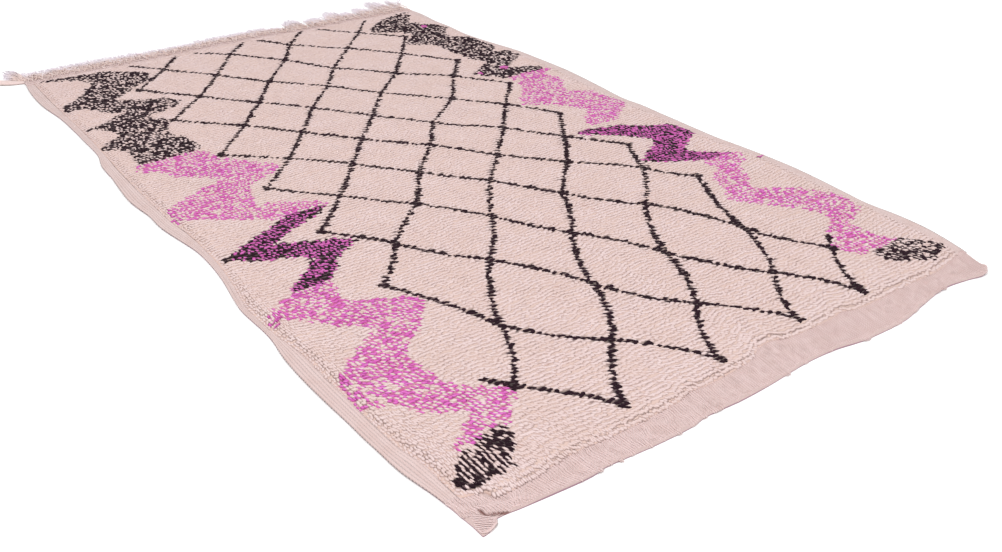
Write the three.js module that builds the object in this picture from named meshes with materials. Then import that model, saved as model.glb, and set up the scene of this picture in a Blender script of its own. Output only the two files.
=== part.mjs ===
import * as THREE from 'three';

// A hand-knotted wool rug that lies flat, pile up. Millimetres, +Z up, +Y towards the fringed end.
// Positions are first taken from the near left corner: across to the right, along to the far end.
// At the end the whole rug is moved so that its box is centred over the origin.

// Thicknesses
const CLOTH_THICK = 4;
const EDGE_THICK = 3.4;
const PILE_RISE = 9;
const PILE_SHOULDER_SHARE = 0.72;

// Flat woven borders round the pile
const LEFT_SELVEDGE = 40;
const RIGHT_SELVEDGE = 33;
const FAR_BAND = 56;
const NOMINAL_WIDTH = 1500;
const SHOULDER_WIDTH = 14;

// How finely the rug's face is divided: the pile field, and three stops across each border
const FIELD_COLUMNS = 40;
const FIELD_ROWS = 64;
const BORDER_STOPS = 3;
const COLUMNS = FIELD_COLUMNS + 1 + 2 * BORDER_STOPS;
const ROWS = FIELD_ROWS + 1 + 2 * BORDER_STOPS;

// Low lumps in the pile: height, wavelengths across and along, and phase
const PILE_LUMPS = [
  { height: 0.9, across: 310, along: 420, phase: 0.4 },
  { height: 0.8, across: 190, along: 1300, phase: 2.1 },
  { height: 0.7, across: 900, along: 230, phase: 4.0 },
  { height: 0.5, across: 150, along: 170, phase: 1.2 },
];

// The cloth's outline, as uneven as a hand-woven edge
const LEFT_EDGE = [
  { along: 0, across: -7 },
  { along: 100, across: -16 },
  { along: 200, across: -31 },
  { along: 400, across: -38 },
  { along: 540, across: -41 },
  { along: 650, across: -37 },
  { along: 755, across: -26 },
  { along: 880, across: -29 },
  { along: 940, across: -22 },
  { along: 1000, across: -12 },
  { along: 1060, across: -4 },
  { along: 1130, across: 1 },
  { along: 1200, across: 1 },
  { along: 1270, across: -8 },
  { along: 1376, across: -23 },
  { along: 1459, across: -23 },
  { along: 1553, across: -33 },
  { along: 1640, across: -29 },
  { along: 1730, across: -22 },
  { along: 1824, across: -18 },
  { along: 1914, across: -1 },
  { along: 2018, across: 2 },
  { along: 2249, across: 1 },
  { along: 2381, across: -11 },
  { along: 2510, across: -11 },
  { along: 2650, across: 4 },
];
const RIGHT_EDGE = [
  { along: 5, across: 1502 },
  { along: 47, across: 1518 },
  { along: 100, across: 1536 },
  { along: 200, across: 1557 },
  { along: 300, across: 1560 },
  { along: 390, across: 1552 },
  { along: 471, across: 1557 },
  { along: 560, across: 1564 },
  { along: 690, across: 1568 },
  { along: 850, across: 1557 },
  { along: 950, across: 1546 },
  { along: 1090, across: 1543 },
  { along: 1210, across: 1541 },
  { along: 1274, across: 1540 },
  { along: 1345, across: 1532 },
  { along: 1480, across: 1541 },
  { along: 1680, across: 1550 },
  { along: 1840, across: 1542 },
  { along: 1924, across: 1536 },
  { along: 2019, across: 1518 },
  { along: 2116, across: 1500 },
  { along: 2210, across: 1490 },
  { along: 2299, across: 1491 },
  { along: 2394, across: 1486 },
  { along: 2500, across: 1488 },
  { along: 2610, across: 1478 },
];
const NEAR_EDGE = [
  { across: -8, along: -19 },
  { across: 0, along: -28 },
  { across: 28, along: -20 },
  { across: 42, along: -6 },
  { across: 100, along: -10 },
  { across: 180, along: -16 },
  { across: 250, along: -19 },
  { across: 290, along: -14 },
  { across: 400, along: -21 },
  { across: 500, along: -22 },
  { across: 545, along: -15 },
  { across: 640, along: -19 },
  { across: 730, along: -16 },
  { across: 840, along: -8 },
  { across: 930, along: -11 },
  { across: 1015, along: -25 },
  { across: 1150, along: -27 },
  { across: 1230, along: -12 },
  { across: 1340, along: 8 },
  { across: 1420, along: 0 },
  { across: 1470, along: -14 },
  { across: 1505, along: 6 },
];
const FAR_EDGE = [
  { across: 0, along: 2660 },
  { across: 200, along: 2658 },
  { across: 400, along: 2650 },
  { across: 700, along: 2648 },
  { across: 900, along: 2635 },
  { across: 1050, along: 2615 },
  { across: 1200, along: 2615 },
  { across: 1350, along: 2604 },
  { across: 1480, along: 2602 },
];

// Where the pile starts above the near flat band
const NEAR_PILE = [
  { across: 0, along: 39 },
  { across: 140, along: 40 },
  { across: 250, along: 52 },
  { across: 520, along: 56 },
  { across: 660, along: 62 },
  { across: 800, along: 83 },
  { across: 1000, along: 76 },
  { across: 1120, along: 66 },
  { across: 1370, along: 64 },
  { across: 1490, along: 84 },
];

// The fringe at the far end: a narrow strip, and bunches of strands that lie on the floor
const FRINGE_GAP = 0.3;
const STRIP_START = 3;
const STRIP_END = 1484;
const STRIP_DEPTH = 7;
const STRIP_THICK = 3;
const STRANDS_PER_BUNCH = 6;
const STRAND_STATIONS = [0.3, 0.62, 1];
const STRAND_ROOT_SHARE = 0.66;
const STRAND_TIP_SHARE = 0.34;
const STRAND_TIP_THICK = 1.8;
const STRAND_WAVE = 2.5;
const STRAND_WAVELENGTH = 75;
const BUNCH_ROUNDING = 0.24;
const LENGTH_UNEVEN = 0.05;
const BUNCHES = [
  { centre: 38, half: 33, length: 88, lean: -8, pull: 0.14 },
  { centre: 106, half: 33, length: 80, lean: -6, pull: 0.12 },
  { centre: 175, half: 34, length: 82, lean: 4, pull: 0.12 },
  { centre: 245, half: 34, length: 97, lean: -5, pull: 0.14 },
  { centre: 315, half: 34, length: 84, lean: 3, pull: 0.1 },
  { centre: 385, half: 34, length: 74, lean: -4, pull: 0.12 },
  { centre: 455, half: 34, length: 62, lean: -3, pull: 0.14 },
  { centre: 525, half: 34, length: 55, lean: -4, pull: 0.1 },
  { centre: 594, half: 33, length: 52, lean: 2, pull: 0.1 },
  { centre: 662, half: 33, length: 76, lean: 5, pull: 0.14 },
  { centre: 730, half: 33, length: 73, lean: -3, pull: 0.12 },
  { centre: 799, half: 34, length: 72, lean: -4, pull: 0.12 },
  { centre: 871, half: 36, length: 82, lean: 4, pull: 0.12 },
  { centre: 940, half: 31, length: 56, lean: -6, pull: 0.2 },
  { centre: 1016, half: 43, length: 126, lean: 12, pull: 0.4 },
  { centre: 1101, half: 40, length: 96, lean: 10, pull: 0.34 },
  { centre: 1186, half: 43, length: 132, lean: 14, pull: 0.4 },
  { centre: 1257, half: 26, length: 84, lean: -12, pull: 0.25 },
  { centre: 1321, half: 36, length: 100, lean: -16, pull: 0.3 },
  { centre: 1400, half: 40, length: 138, lean: -10, pull: 0.32 },
  { centre: 1461, half: 18, length: 112, lean: 6, pull: 0.2 },
];

// The plaited tail and the loose bunch at the far left corner
const TAIL_SECTIONS = [
  { across: 2.4, along: 2648, wide: 14, tall: 7 },
  { across: -8, along: 2648, wide: 21, tall: 16 },
  { across: -22, along: 2649, wide: 16, tall: 12 },
  { across: -36, along: 2651, wide: 21, tall: 16 },
  { across: -50, along: 2654, wide: 15, tall: 11 },
  { across: -64, along: 2658, wide: 20, tall: 14 },
  { across: -78, along: 2663, wide: 14, tall: 10 },
  { across: -92, along: 2670, wide: 17, tall: 10 },
  { across: -106, along: 2679, wide: 7, tall: 5 },
];
const TAIL_SIDES = 8;
const CORNER_ROOT = { right: 2.7, near: 2660.5, deep: 7, tall: 5, pitch: 4.6 };
const CORNER_TIP_TALL = 3;
const CORNER_FRAY = 0.5;
const CORNER_STRANDS = [
  { length: 62, lean: -34 },
  { length: 84, lean: -25 },
  { length: 88, lean: -15 },
  { length: 70, lean: -5 },
];

const WOOL_ROUGHNESS = 0.95;
const CREAM = 0xe4cdc6;
const CREAM_FRINGE = 0xd9c3ba;

// Reads a table at any place between its rows, with a smooth curve through them
function follow(rows, from, to, at) {
  let i = 0;
  while (i < rows.length - 2 && at > rows[i + 1][from]) {
    i += 1;
  }
  const low = rows[i];
  const high = rows[i + 1];
  const before = rows[Math.max(i - 1, 0)];
  const after = rows[Math.min(i + 2, rows.length - 1)];
  const span = high[from] - low[from];
  const share = THREE.MathUtils.clamp((at - low[from]) / span, 0, 1);
  const leaving = (span * (high[to] - before[to])) / (high[from] - before[from]);
  const arriving = (span * (after[to] - low[to])) / (after[from] - low[from]);
  const rest = 1 - share;
  const blend = share * share * (3 - 2 * share);
  return (
    low[to] * (1 - blend) + high[to] * blend + leaving * share * rest * rest - arriving * rest * share * share
  );
}

const leftEdge = (along) => follow(LEFT_EDGE, 'along', 'across', along);
const rightEdge = (along) => follow(RIGHT_EDGE, 'along', 'across', along);
const nearEdge = (across) => follow(NEAR_EDGE, 'across', 'along', across);
const farEdge = (across) => follow(FAR_EDGE, 'across', 'along', across);
const nearPile = (across) => follow(NEAR_PILE, 'across', 'along', across);

// A closed surface that is gathered point by point and face by face
class Skin {
  constructor() {
    this.points = [];
    this.faces = [];
  }

  point(x, y, z) {
    this.points.push(x, y, z);
    return this.points.length / 3 - 1;
  }

  triangle(a, b, c) {
    this.faces.push(a, b, c);
  }

  // Corners run counter-clockwise when seen from outside
  quad(a, b, c, d) {
    this.triangle(a, b, c);
    this.triangle(a, c, d);
  }

  // Joins two loops of corners that run counter-clockwise when seen from the end of the run
  sleeve(first, second) {
    first.forEach((corner, i) => {
      const next = (i + 1) % first.length;
      this.quad(corner, first[next], second[next], second[i]);
    });
  }

  // Closes a loop of corners that runs counter-clockwise when seen from outside
  cap(loop) {
    for (let i = 1; i < loop.length - 1; i += 1) {
      this.triangle(loop[0], loop[i], loop[i + 1]);
    }
  }

  mesh(name, color) {
    const geometry = new THREE.BufferGeometry();
    geometry.setAttribute('position', new THREE.Float32BufferAttribute(this.points, 3));
    geometry.setIndex(this.faces);
    geometry.computeVertexNormals();
    const material = new THREE.MeshStandardMaterial({ color, roughness: WOOL_ROUGHNESS, metalness: 0 });
    const mesh = new THREE.Mesh(geometry, material);
    mesh.name = name;
    return mesh;
  }
}

// Places from one edge to the other: edge, foot of the pile, its shoulder, the field, and back
function stops(low, lowBand, high, highBand, steps) {
  const start = low + lowBand + SHOULDER_WIDTH;
  const end = high - highBand - SHOULDER_WIDTH;
  const field = Array.from({ length: steps + 1 }, (_, i) => THREE.MathUtils.lerp(start, end, i / steps));
  return [low, low + lowBand / 2, low + lowBand, ...field, high - highBand, high - highBand / 2, high];
}

// Height of the rug's face: flat cloth in the borders, a soft shoulder, then lumpy pile
function faceHeight(across, along, fromEdge) {
  if (fromEdge === 0) {
    return EDGE_THICK;
  }
  if (fromEdge < BORDER_STOPS) {
    return CLOTH_THICK;
  }
  if (fromEdge === BORDER_STOPS) {
    return CLOTH_THICK + PILE_RISE * PILE_SHOULDER_SHARE;
  }
  const lump = PILE_LUMPS.reduce((sum, wave) => {
    const sideways = Math.sin((2 * Math.PI * across) / wave.across + wave.phase);
    const lengthways = Math.cos((2 * Math.PI * along) / wave.along + wave.phase);
    return sum + wave.height * sideways * lengthways;
  }, 0);
  return CLOTH_THICK + PILE_RISE + lump;
}

// The rug's face is a grid: gridPlace gives the place of its column i and row j
const NOMINAL = stops(0, LEFT_SELVEDGE, NOMINAL_WIDTH, RIGHT_SELVEDGE, FIELD_COLUMNS);

function gridPlace(i, j) {
  const near = nearEdge(NOMINAL[i]);
  const band = nearPile(NOMINAL[i]) - near;
  const along = stops(near, band, farEdge(NOMINAL[i]), FAR_BAND, FIELD_ROWS)[j];
  const width = stops(leftEdge(along), LEFT_SELVEDGE, rightEdge(along), RIGHT_SELVEDGE, FIELD_COLUMNS);
  return { across: width[i], along };
}

// The rug's far rim as it is really cut, straight from one column to the next
const FAR_RIM = NOMINAL.map((_, i) => gridPlace(i, ROWS - 1));

function farRim(across) {
  const right = THREE.MathUtils.clamp(FAR_RIM.findIndex((corner) => corner.across > across), 1, COLUMNS - 1);
  const { across: start, along: low } = FAR_RIM[right - 1];
  const { across: end, along: high } = FAR_RIM[right];
  return low + ((high - low) * (across - start)) / (end - start);
}

function wovenRug() {
  const skin = new Skin();
  const face = [];
  for (let j = 0; j < ROWS; j += 1) {
    face.push([]);
    for (let i = 0; i < COLUMNS; i += 1) {
      const { across, along } = gridPlace(i, j);
      const fromEdge = Math.min(i, j, COLUMNS - 1 - i, ROWS - 1 - j);
      face[j].push(skin.point(across, along, faceHeight(across, along, fromEdge)));
    }
  }
  for (let j = 0; j < ROWS - 1; j += 1) {
    for (let i = 0; i < COLUMNS - 1; i += 1) {
      skin.quad(face[j][i], face[j][i + 1], face[j + 1][i + 1], face[j + 1][i]);
    }
  }
  const rim = [
    ...face[0].slice(0, -1),
    ...face.slice(0, -1).map((row) => row[COLUMNS - 1]),
    ...face[ROWS - 1].slice(1).reverse(),
    ...face.slice(1).map((row) => row[0]).reverse(),
  ];
  const outline = rim.map((i) => new THREE.Vector2(skin.points[3 * i], skin.points[3 * i + 1]));
  const foot = outline.map((corner) => skin.point(corner.x, corner.y, 0));
  skin.sleeve(foot, rim);
  const under = THREE.ShapeUtils.triangulateShape(outline, []);
  under.forEach(([a, b, c]) => skin.triangle(foot[c], foot[b], foot[a]));
  return skin.mesh('woven_rug', CREAM);
}

// Sideways place of a strand's point: each bunch draws together and leans as it leaves the strip
function strandAcross(bunch, root, out) {
  const share = out / bunch.length;
  const drawn = (root - bunch.centre) * (1 - bunch.pull * share);
  const wave = STRAND_WAVE * Math.sin((2 * Math.PI * out) / STRAND_WAVELENGTH);
  return bunch.centre + drawn + bunch.lean * share * share + wave;
}

// Strands in a bunch end unevenly, the middle ones longest
function strandLength(bunch, root) {
  const offCentre = Math.abs(root - bunch.centre) / bunch.half;
  return bunch.length * (1 - BUNCH_ROUNDING * offCentre * offCentre - LENGTH_UNEVEN * Math.sin(root));
}

function strandWidth(pitch, share) {
  return pitch * THREE.MathUtils.lerp(STRAND_ROOT_SHARE, STRAND_TIP_SHARE, share);
}

// One strand of the far fringe: where its root sits, and its sections from root to tip
function fringeStrand(bunch, number) {
  const pitch = (2 * bunch.half) / STRANDS_PER_BUNCH;
  const root = bunch.centre - bunch.half + pitch * (number + 0.5);
  const length = strandLength(bunch, root);
  const start = farRim(root) + FRINGE_GAP + STRIP_DEPTH;
  const sections = STRAND_STATIONS.map((share) => ({
    across: strandAcross(bunch, root, length * share),
    along: start + length * share,
    wide: strandWidth(pitch, share),
    tall: THREE.MathUtils.lerp(STRIP_THICK, STRAND_TIP_THICK, share),
  }));
  return { root, rootWidth: strandWidth(pitch, 0), sections };
}

// One strand of the loose bunch at the far left corner
function cornerStrand({ length, lean }, number) {
  const { right, near, deep, tall, pitch } = CORNER_ROOT;
  const root = right - pitch * (CORNER_STRANDS.length - number - 0.5);
  const sections = STRAND_STATIONS.map((share) => ({
    across: root + lean * share,
    along: near + deep + length * share,
    wide: strandWidth(pitch, share) + pitch * CORNER_FRAY * share,
    tall: THREE.MathUtils.lerp(tall, CORNER_TIP_TALL, share),
  }));
  return { root, rootWidth: strandWidth(pitch, 0), sections };
}

// Runs one strand outwards from its root loop and closes its tip
function addStrand(skin, rootLoop, sections) {
  let loop = rootLoop;
  sections.forEach(({ across, along, wide, tall }) => {
    const next = [
      skin.point(across - wide / 2, along, 0),
      skin.point(across - wide / 2, along, tall),
      skin.point(across + wide / 2, along, tall),
      skin.point(across + wide / 2, along, 0),
    ];
    skin.sleeve(loop, next);
    loop = next;
  });
  skin.cap(loop);
}

// A narrow strip along the cloth's end, and the strands that leave its far face
function fringedStrip(name, from, to, nearSide, strip, strands) {
  const skin = new Skin();
  const section = (across) => [
    skin.point(across, nearSide(across), 0),
    skin.point(across, nearSide(across) + strip.deep, 0),
    skin.point(across, nearSide(across) + strip.deep, strip.tall),
    skin.point(across, nearSide(across), strip.tall),
  ];
  const joinSections = (left, right, strandRoot) => {
    skin.quad(left[0], left[1], right[1], right[0]);
    skin.quad(left[3], right[3], right[2], left[2]);
    skin.quad(left[0], right[0], right[3], left[3]);
    if (!strandRoot) {
      skin.quad(left[1], left[2], right[2], right[1]);
    }
  };
  let last = section(from);
  skin.cap([...last].reverse());
  strands.forEach(({ root, rootWidth, sections }) => {
    const left = section(root - rootWidth / 2);
    const right = section(root + rootWidth / 2);
    joinSections(last, left, false);
    joinSections(left, right, true);
    addStrand(skin, [left[1], left[2], right[2], right[1]], sections);
    last = right;
  });
  const end = section(to);
  joinSections(last, end, false);
  skin.cap(end);
  return skin.mesh(name, CREAM_FRINGE);
}

function farFringe() {
  const numbers = Array.from({ length: STRANDS_PER_BUNCH }, (_, number) => number);
  const strands = BUNCHES.flatMap((bunch) => numbers.map((number) => fringeStrand(bunch, number)));
  const nearSide = (across) => farRim(across) + FRINGE_GAP;
  const strip = { deep: STRIP_DEPTH, tall: STRIP_THICK };
  return fringedStrip('far_fringe', STRIP_START, STRIP_END, nearSide, strip, strands);
}

function cornerBunch() {
  const { right, near, pitch } = CORNER_ROOT;
  const left = right - pitch * CORNER_STRANDS.length;
  const strands = CORNER_STRANDS.map(cornerStrand);
  return fringedStrip('left_corner_bunch', left, right, () => near, CORNER_ROOT, strands);
}

// A plaited tail of yarn that swells and narrows with its turns and lies on the floor
function cornerTail() {
  const skin = new Skin();
  const loops = TAIL_SECTIONS.map((section) => {
    const loop = [];
    for (let k = 0; k < TAIL_SIDES; k += 1) {
      const angle = (2 * Math.PI * (k + 0.5)) / TAIL_SIDES;
      const side = (-section.wide / 2) * Math.sin(angle) / Math.cos(Math.PI / TAIL_SIDES);
      const up = (section.tall / 2) * (1 - Math.cos(angle) / Math.cos(Math.PI / TAIL_SIDES));
      loop.push(skin.point(section.across, section.along + side, up));
    }
    return loop;
  });
  skin.cap([...loops[0]].reverse());
  loops.slice(1).forEach((loop, i) => skin.sleeve(loops[i], loop));
  skin.cap(loops[loops.length - 1]);
  return skin.mesh('left_corner_tail', CREAM_FRINGE);
}

const group = new THREE.Group();
group.add(wovenRug(), farFringe(), cornerTail(), cornerBunch());

const box = new THREE.Box3().setFromObject(group);
group.position.set(-(box.min.x + box.max.x) / 2, -(box.min.y + box.max.y) / 2, 0);
group.updateMatrixWorld(true);

export default group;
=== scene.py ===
"""Looks of a hand-knotted wool rug that lies flat on a pale floor.

The rug has a woven ground cloth, corded selvedges, ribbed flat bands at both ends, a pile of short wool locks
knotted in four yarns, a fringe of loose warp ends and a thick tail of wool at its far left corner.

The plan is written in millimetres from the near left corner of the cloth: across to the right, along towards the
fringed end. The pattern is charted in centimetres from the same corner. Blender's own lengths are metres.
"""

import logging
import math
from dataclasses import dataclass, field
from enum import Enum

import bmesh
import bpy
import numpy as np
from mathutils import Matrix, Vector

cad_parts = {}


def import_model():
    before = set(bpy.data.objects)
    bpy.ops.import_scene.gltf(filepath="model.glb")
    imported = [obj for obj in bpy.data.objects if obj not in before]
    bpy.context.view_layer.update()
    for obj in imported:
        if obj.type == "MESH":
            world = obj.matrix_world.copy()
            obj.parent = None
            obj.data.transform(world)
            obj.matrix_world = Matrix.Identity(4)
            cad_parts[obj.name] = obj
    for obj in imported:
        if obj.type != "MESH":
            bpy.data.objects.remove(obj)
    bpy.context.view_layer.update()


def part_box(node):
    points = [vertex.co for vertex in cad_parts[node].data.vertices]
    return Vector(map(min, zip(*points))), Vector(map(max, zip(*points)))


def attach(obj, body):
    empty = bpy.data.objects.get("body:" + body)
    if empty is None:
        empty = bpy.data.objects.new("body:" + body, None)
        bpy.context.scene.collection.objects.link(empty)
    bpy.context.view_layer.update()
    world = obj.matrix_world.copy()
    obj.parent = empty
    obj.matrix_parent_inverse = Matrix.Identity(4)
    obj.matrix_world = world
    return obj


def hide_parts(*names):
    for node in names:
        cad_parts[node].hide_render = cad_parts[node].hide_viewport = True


LOG = logging.getLogger("rug")
MM = 0.001
CM_TO_MM = 10.0
SEED = 20

# Lists of places across and along, and a colour in linear numbers with its alpha
Places = tuple[tuple[float, float], ...]
Colour = tuple[float, float, float, float]


class Yarn(Enum):
    """The four yarns of the pile."""

    CREAM = "cream"
    CHARCOAL = "charcoal"
    PINK = "pink"
    MAGENTA = "magenta"


class End(Enum):
    """The rug's two ends."""

    NEAR = 1
    FAR = 2


class Side(Enum):
    """The rug's two sides."""

    LEFT = 3
    RIGHT = 4


# The plan of the rug


@dataclass(frozen=True)
class Profile:
    """A value that changes smoothly along a line and is known at a few places.

    Attributes:
        at: The places, in growing order.
        value: The value at each of them.
    """

    at: tuple[float, ...]
    value: tuple[float, ...]

    def read(self, place: np.ndarray) -> np.ndarray:
        """Reads the value anywhere, with a smooth curve through the known places.

        Args:
            place: Where to read it.

        Returns:
            One value for each place.
        """
        at, value = np.array(self.at, float), np.array(self.value, float)
        place = np.asarray(place, float)
        low = np.clip(np.searchsorted(at, place) - 1, 0, len(at) - 2)
        before, high = np.maximum(low - 1, 0), low + 1
        after = np.minimum(low + 2, len(at) - 1)
        span = at[high] - at[low]
        share = np.clip((place - at[low]) / span, 0, 1)
        leaving = span * (value[high] - value[before]) / (at[high] - at[before])
        arriving = span * (value[after] - value[low]) / (at[after] - at[low])
        rest, blend = 1 - share, share * share * (3 - 2 * share)
        curve = leaving * share * rest * rest - arriving * rest * share * share
        return value[low] * (1 - blend) + value[high] * blend + curve

    def lowest(self, stops: int = 400) -> float:
        """Gives the lowest value between the first and the last place."""
        return self.read(np.linspace(self.at[0], self.at[-1], stops)).min()


# The outline of the cloth, as uneven as a hand-woven edge
LEFT_EDGE = Profile(
    at=(0, 100, 200, 400, 540, 650, 755, 880, 940, 1000, 1060, 1130, 1200, 1270, 1376, 1459, 1553, 1640, 1730, 1824,
        1914, 2018, 2249, 2381, 2510, 2650),
    value=(-7, -16, -31, -38, -41, -37, -26, -29, -22, -12, -4, 1, 1, -8, -23, -23, -33, -29, -22, -18, -1, 2, 1,
           -11, -11, 4),
)
RIGHT_EDGE = Profile(
    at=(5, 47, 100, 200, 300, 390, 471, 560, 690, 850, 950, 1090, 1210, 1274, 1345, 1480, 1680, 1840, 1924, 2019,
        2116, 2210, 2299, 2394, 2500, 2610),
    value=(1502, 1518, 1536, 1557, 1560, 1552, 1557, 1564, 1568, 1557, 1546, 1543, 1541, 1540, 1532, 1541, 1550,
           1542, 1536, 1518, 1500, 1490, 1491, 1486, 1488, 1478),
)
NEAR_EDGE = Profile(
    at=(-8, 0, 28, 42, 100, 180, 250, 290, 400, 500, 545, 640, 730, 840, 930, 1015, 1150, 1230, 1340, 1420, 1470,
        1505),
    value=(-19, -28, -20, -6, -10, -16, -19, -14, -21, -22, -15, -19, -16, -8, -11, -25, -27, -12, 5, -4, -15, 6),
)
FAR_EDGE = Profile(
    at=(0, 200, 400, 700, 900, 1050, 1200, 1350, 1480),
    value=(2660, 2658, 2650, 2648, 2635, 2615, 2615, 2604, 2602),
)

# The borders of the pile inside the flat bands
NEAR_PILE = Profile(
    at=(0, 50, 60, 66, 140, 250, 350, 530, 572, 611, 755, 785, 812, 850, 870, 1015, 1058, 1085, 1160, 1250, 1380,
        1419, 1490),
    value=(76, 63, 58, 37, 38, 50, 45, 50, 61, 56, 66, 84, 91, 89, 76, 73, 78, 67, 62, 65, 61, 66, 81),
)
LEFT_PILE = Profile(
    at=(0, 60, 200, 260, 420, 650, 760, 880, 1000, 1120, 1300, 1400, 1750, 1900, 2100, 2350, 2640),
    value=(28, 15, 13, 2, 0, 0, -12, -14, 4, 17, 19, 10, 10, 16, 22, 20, 24),
)
RIGHT_PILE = Profile(
    at=(60, 110, 200, 300, 460, 620, 780, 900, 1000, 1250, 1400, 1700, 1900, 2020, 2130, 2280, 2450, 2600),
    value=(1492, 1510, 1524, 1527, 1534, 1536, 1540, 1526, 1518, 1514, 1508, 1518, 1514, 1500, 1486, 1482, 1466,
           1458),
)


@dataclass(frozen=True)
class Fold:
    """A soft ridge or, with a negative height, a soft trough in the flat cloth. All in millimetres."""

    start: tuple[float, float]
    end: tuple[float, float]
    width: float
    height: float


FOLDS = (
    Fold(start=(24, 26), end=(27, 10), width=3.4, height=-2.8),
    Fold(start=(27, 10), end=(45, 3), width=3.4, height=-2.8),
    Fold(start=(45, 3), end=(63, -8), width=3.4, height=-2.8),
    Fold(start=(27, 30), end=(72, 12), width=8, height=4.4),
    Fold(start=(4, 6), end=(26, -24), width=9, height=2.0),
    Fold(start=(118, -14), end=(215, -22), width=9, height=3.2),
    Fold(start=(205, -22), end=(300, -18), width=7, height=2.2),
    Fold(start=(560, -14), end=(700, -17), width=7, height=2.0),
    Fold(start=(905, -8), end=(1010, -20), width=8, height=2.2),
    Fold(start=(1180, -14), end=(1250, -4), width=8, height=3.0),
    Fold(start=(1290, 8), end=(1400, 6), width=9, height=3.0),
    Fold(start=(1385, 40), end=(1480, 20), width=8, height=-1.8),
)

# How far to the right the near band's yarns end, for places across
NEAR_SLANT = Profile(at=(0, 40, 120, 300, 420, 900, 1400, 1500), value=(-3, 6, 9, 7, 1, 0, 3, 5))

# Where the near band ends at the folded corner, for places across
TAB_FOLD = Profile(at=(0, 22, 28, 40, 52, 62, 66, 90), value=(25, 17, 4, 0, -9, -12, -60, -60))


@dataclass(frozen=True)
class Lump:
    """A low wave in the pile's top: its height, its wavelengths across and along, and its phase."""

    height: float
    across: float
    along: float
    phase: float


LUMPS = (Lump(0.9, 310, 420, 0.4), Lump(0.8, 190, 1300, 2.1), Lump(0.7, 900, 230, 4.0), Lump(0.5, 150, 170, 1.2))


@dataclass(frozen=True)
class Lie:
    """The way the locks lie, charted: degrees turned from straight towards the near end.

    Attributes:
        across: Where it is known, in millimetres across.
        along: Where it is known along.
        turned: The turn at each place, one row for each place along. Positive turns go to the right.
    """

    across: tuple[float, ...] = (6, 44, 200, 400, 800, 1400)
    along: tuple[float, ...] = (50, 150, 300, 600, 1100, 1700, 2400)
    turned: tuple[tuple[float, ...], ...] = (
        (0, 6, 22, 44, 54, 62), (0, 8, 26, 48, 56, 62), (0, 30, 44, 54, 58, 66), (0, 44, 52, 60, 62, 68),
        (0, 54, 58, 62, 62, 60), (0, 62, 64, 68, 66, 60), (0, 62, 64, 66, 66, 60))

    def read(self, across: np.ndarray, along: np.ndarray) -> np.ndarray:
        """Reads the turn at places of the pile.

        Args:
            across: How far across each place is.
            along: How far along it is.

        Returns:
            The turn in degrees.
        """
        columns = np.stack([np.interp(along, self.along, column) for column in zip(*self.turned)])
        place = np.interp(across, self.across, np.arange(len(self.across)))
        low = np.minimum(place.astype(int), len(self.across) - 2)
        first = np.take_along_axis(columns, low[None], 0)[0]
        second = np.take_along_axis(columns, low[None] + 1, 0)[0]
        return first + (second - first) * (place - low)


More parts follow.
